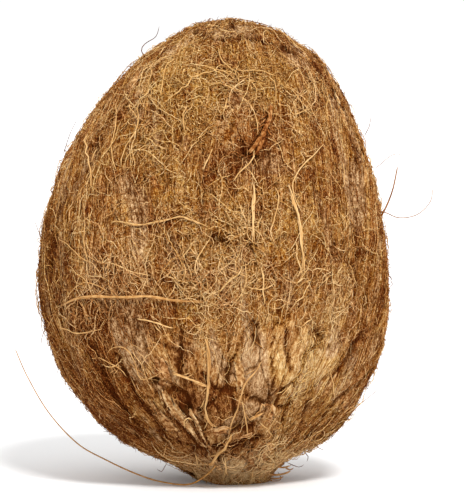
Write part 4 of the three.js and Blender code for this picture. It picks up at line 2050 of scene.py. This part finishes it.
@dataclass(frozen=True)
class Studio:
    """A pale floor, soft light from above the front, and a long lens straight in front."""

    floor_half: float = 30.0  # metres
    floor_colour: tuple[float, float, float, float] = (0.88, 0.88, 0.88, 1.0)
    sky: float = 1.05
    key: float = 3.0
    key_elevation: float = 44.0
    key_azimuth: float = 18.0
    key_spread: float = 12.0
    sight: Sight = Sight()
    frame_height: float = 140.7
    sensor: float = 24.0

    def camera(self) -> None:
        """Sets the camera up."""
        data = bpy.data.cameras.new("camera")
        data.sensor_fit = "VERTICAL"
        data.sensor_height = self.sensor
        data.lens = self.sensor * self.sight.distance / self.frame_height
        data.clip_end = 100.0
        camera = placed("camera", data)
        aim = Vector(self.sight.aim) * MM
        camera.location = Vector(self.sight.eye()) * MM
        camera.rotation_euler = (aim - camera.location).to_track_quat("-Z", "Y").to_euler()
        bpy.context.scene.camera = camera

    def floor(self) -> Object:
        """Lays the floor, a plain sheet that the nut stands on.

        Returns:
            The floor.
        """
        half = self.floor_half
        corners = [(-half, -half, 0), (half, -half, 0), (half, half, 0), (-half, half, 0)]
        mesh = bpy.data.meshes.new("floor")
        mesh.from_pydata(corners, [], [(0, 1, 2, 3)])
        material, _, shader = blank_material("pale_floor", 0.9)
        shader.inputs["Base Color"].default_value = self.floor_colour
        shader.inputs["Specular IOR Level"].default_value = 0.1
        mesh.materials.append(material)
        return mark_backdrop(placed("floor", mesh))

    def lights(self) -> None:
        """Lights the nut with a white sky and one soft key light."""
        world = bpy.data.worlds.new("studio")
        world.use_nodes = True
        sky = world.node_tree.nodes["Background"]
        sky.inputs["Color"].default_value = (1.0, 1.0, 1.0, 1.0)
        sky.inputs["Strength"].default_value = self.sky
        bpy.context.scene.world = world
        data = bpy.data.lights.new("key", "SUN")
        data.energy = self.key
        data.angle = math.radians(self.key_spread)
        key = placed("key", data)
        up, turn = math.radians(self.key_elevation), math.radians(self.key_azimuth)
        towards = Vector((math.cos(up) * math.sin(turn), -math.cos(up) * math.cos(turn), math.sin(up)))
        key.rotation_euler = towards.to_track_quat("Z", "Y").to_euler()
        key.location = towards
        bpy.context.scene.view_settings.view_transform = "Standard"


# ---------------- the whole nut


@dataclass
class Coconut:
    """The whole nut: its husk skin, its coir and its loose strands."""

    pieces: list[Object] = field(default_factory=list)

    def keep(self, piece: Object) -> None:
        """Rides a piece on the nut's body and reports it.

        Args:
            piece: The finished piece.
        """
        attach(piece, "root")
        self.pieces.append(piece)
        piece.data.calc_loop_triangles()
        log.info("%s: %d triangles", piece.name, len(piece.data.loop_triangles))

    def build(self) -> None:
        """Builds every piece in order."""
        skin = HuskSkin()
        husk = skin.build()
        coir = CoirFinish("coir", fleck=0.22, fleck_scale=2200.0).material()
        tree = FibreTree()
        layers = [CoirLayer(kind, tree, coir).build(husk) for kind in COIR_KINDS]
        sheet = CoirFinish("husk_sheet", wear=0.55, fleck=0.22).material()
        layers.append([HuskFlaps(skin, sheet).build()])
        skin.tidy()
        self.keep(husk)
        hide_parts("coconut")
        loose = CoirFinish("loose_coir", wear=0.35).material()
        red = CoirFinish("red_husk", wear=0.2, fleck=0.2).material()
        layers.append(LooseStrands(skin, red, "red_shard", strands=RED_SHARD, strays=()).build())
        for piece in itertools.chain(*layers, LooseStrands(skin, loose).build()):
            self.keep(piece)
        bpy.data.node_groups.remove(tree.tree)


def main() -> None:
    """Builds the studio and the nut."""
    logging.basicConfig(level=logging.INFO, format="%(name)s: %(message)s")
    studio = Studio()
    studio.camera()
    studio.floor()
    studio.lights()
    Coconut().build()


if __name__ == "__main__":
    main()
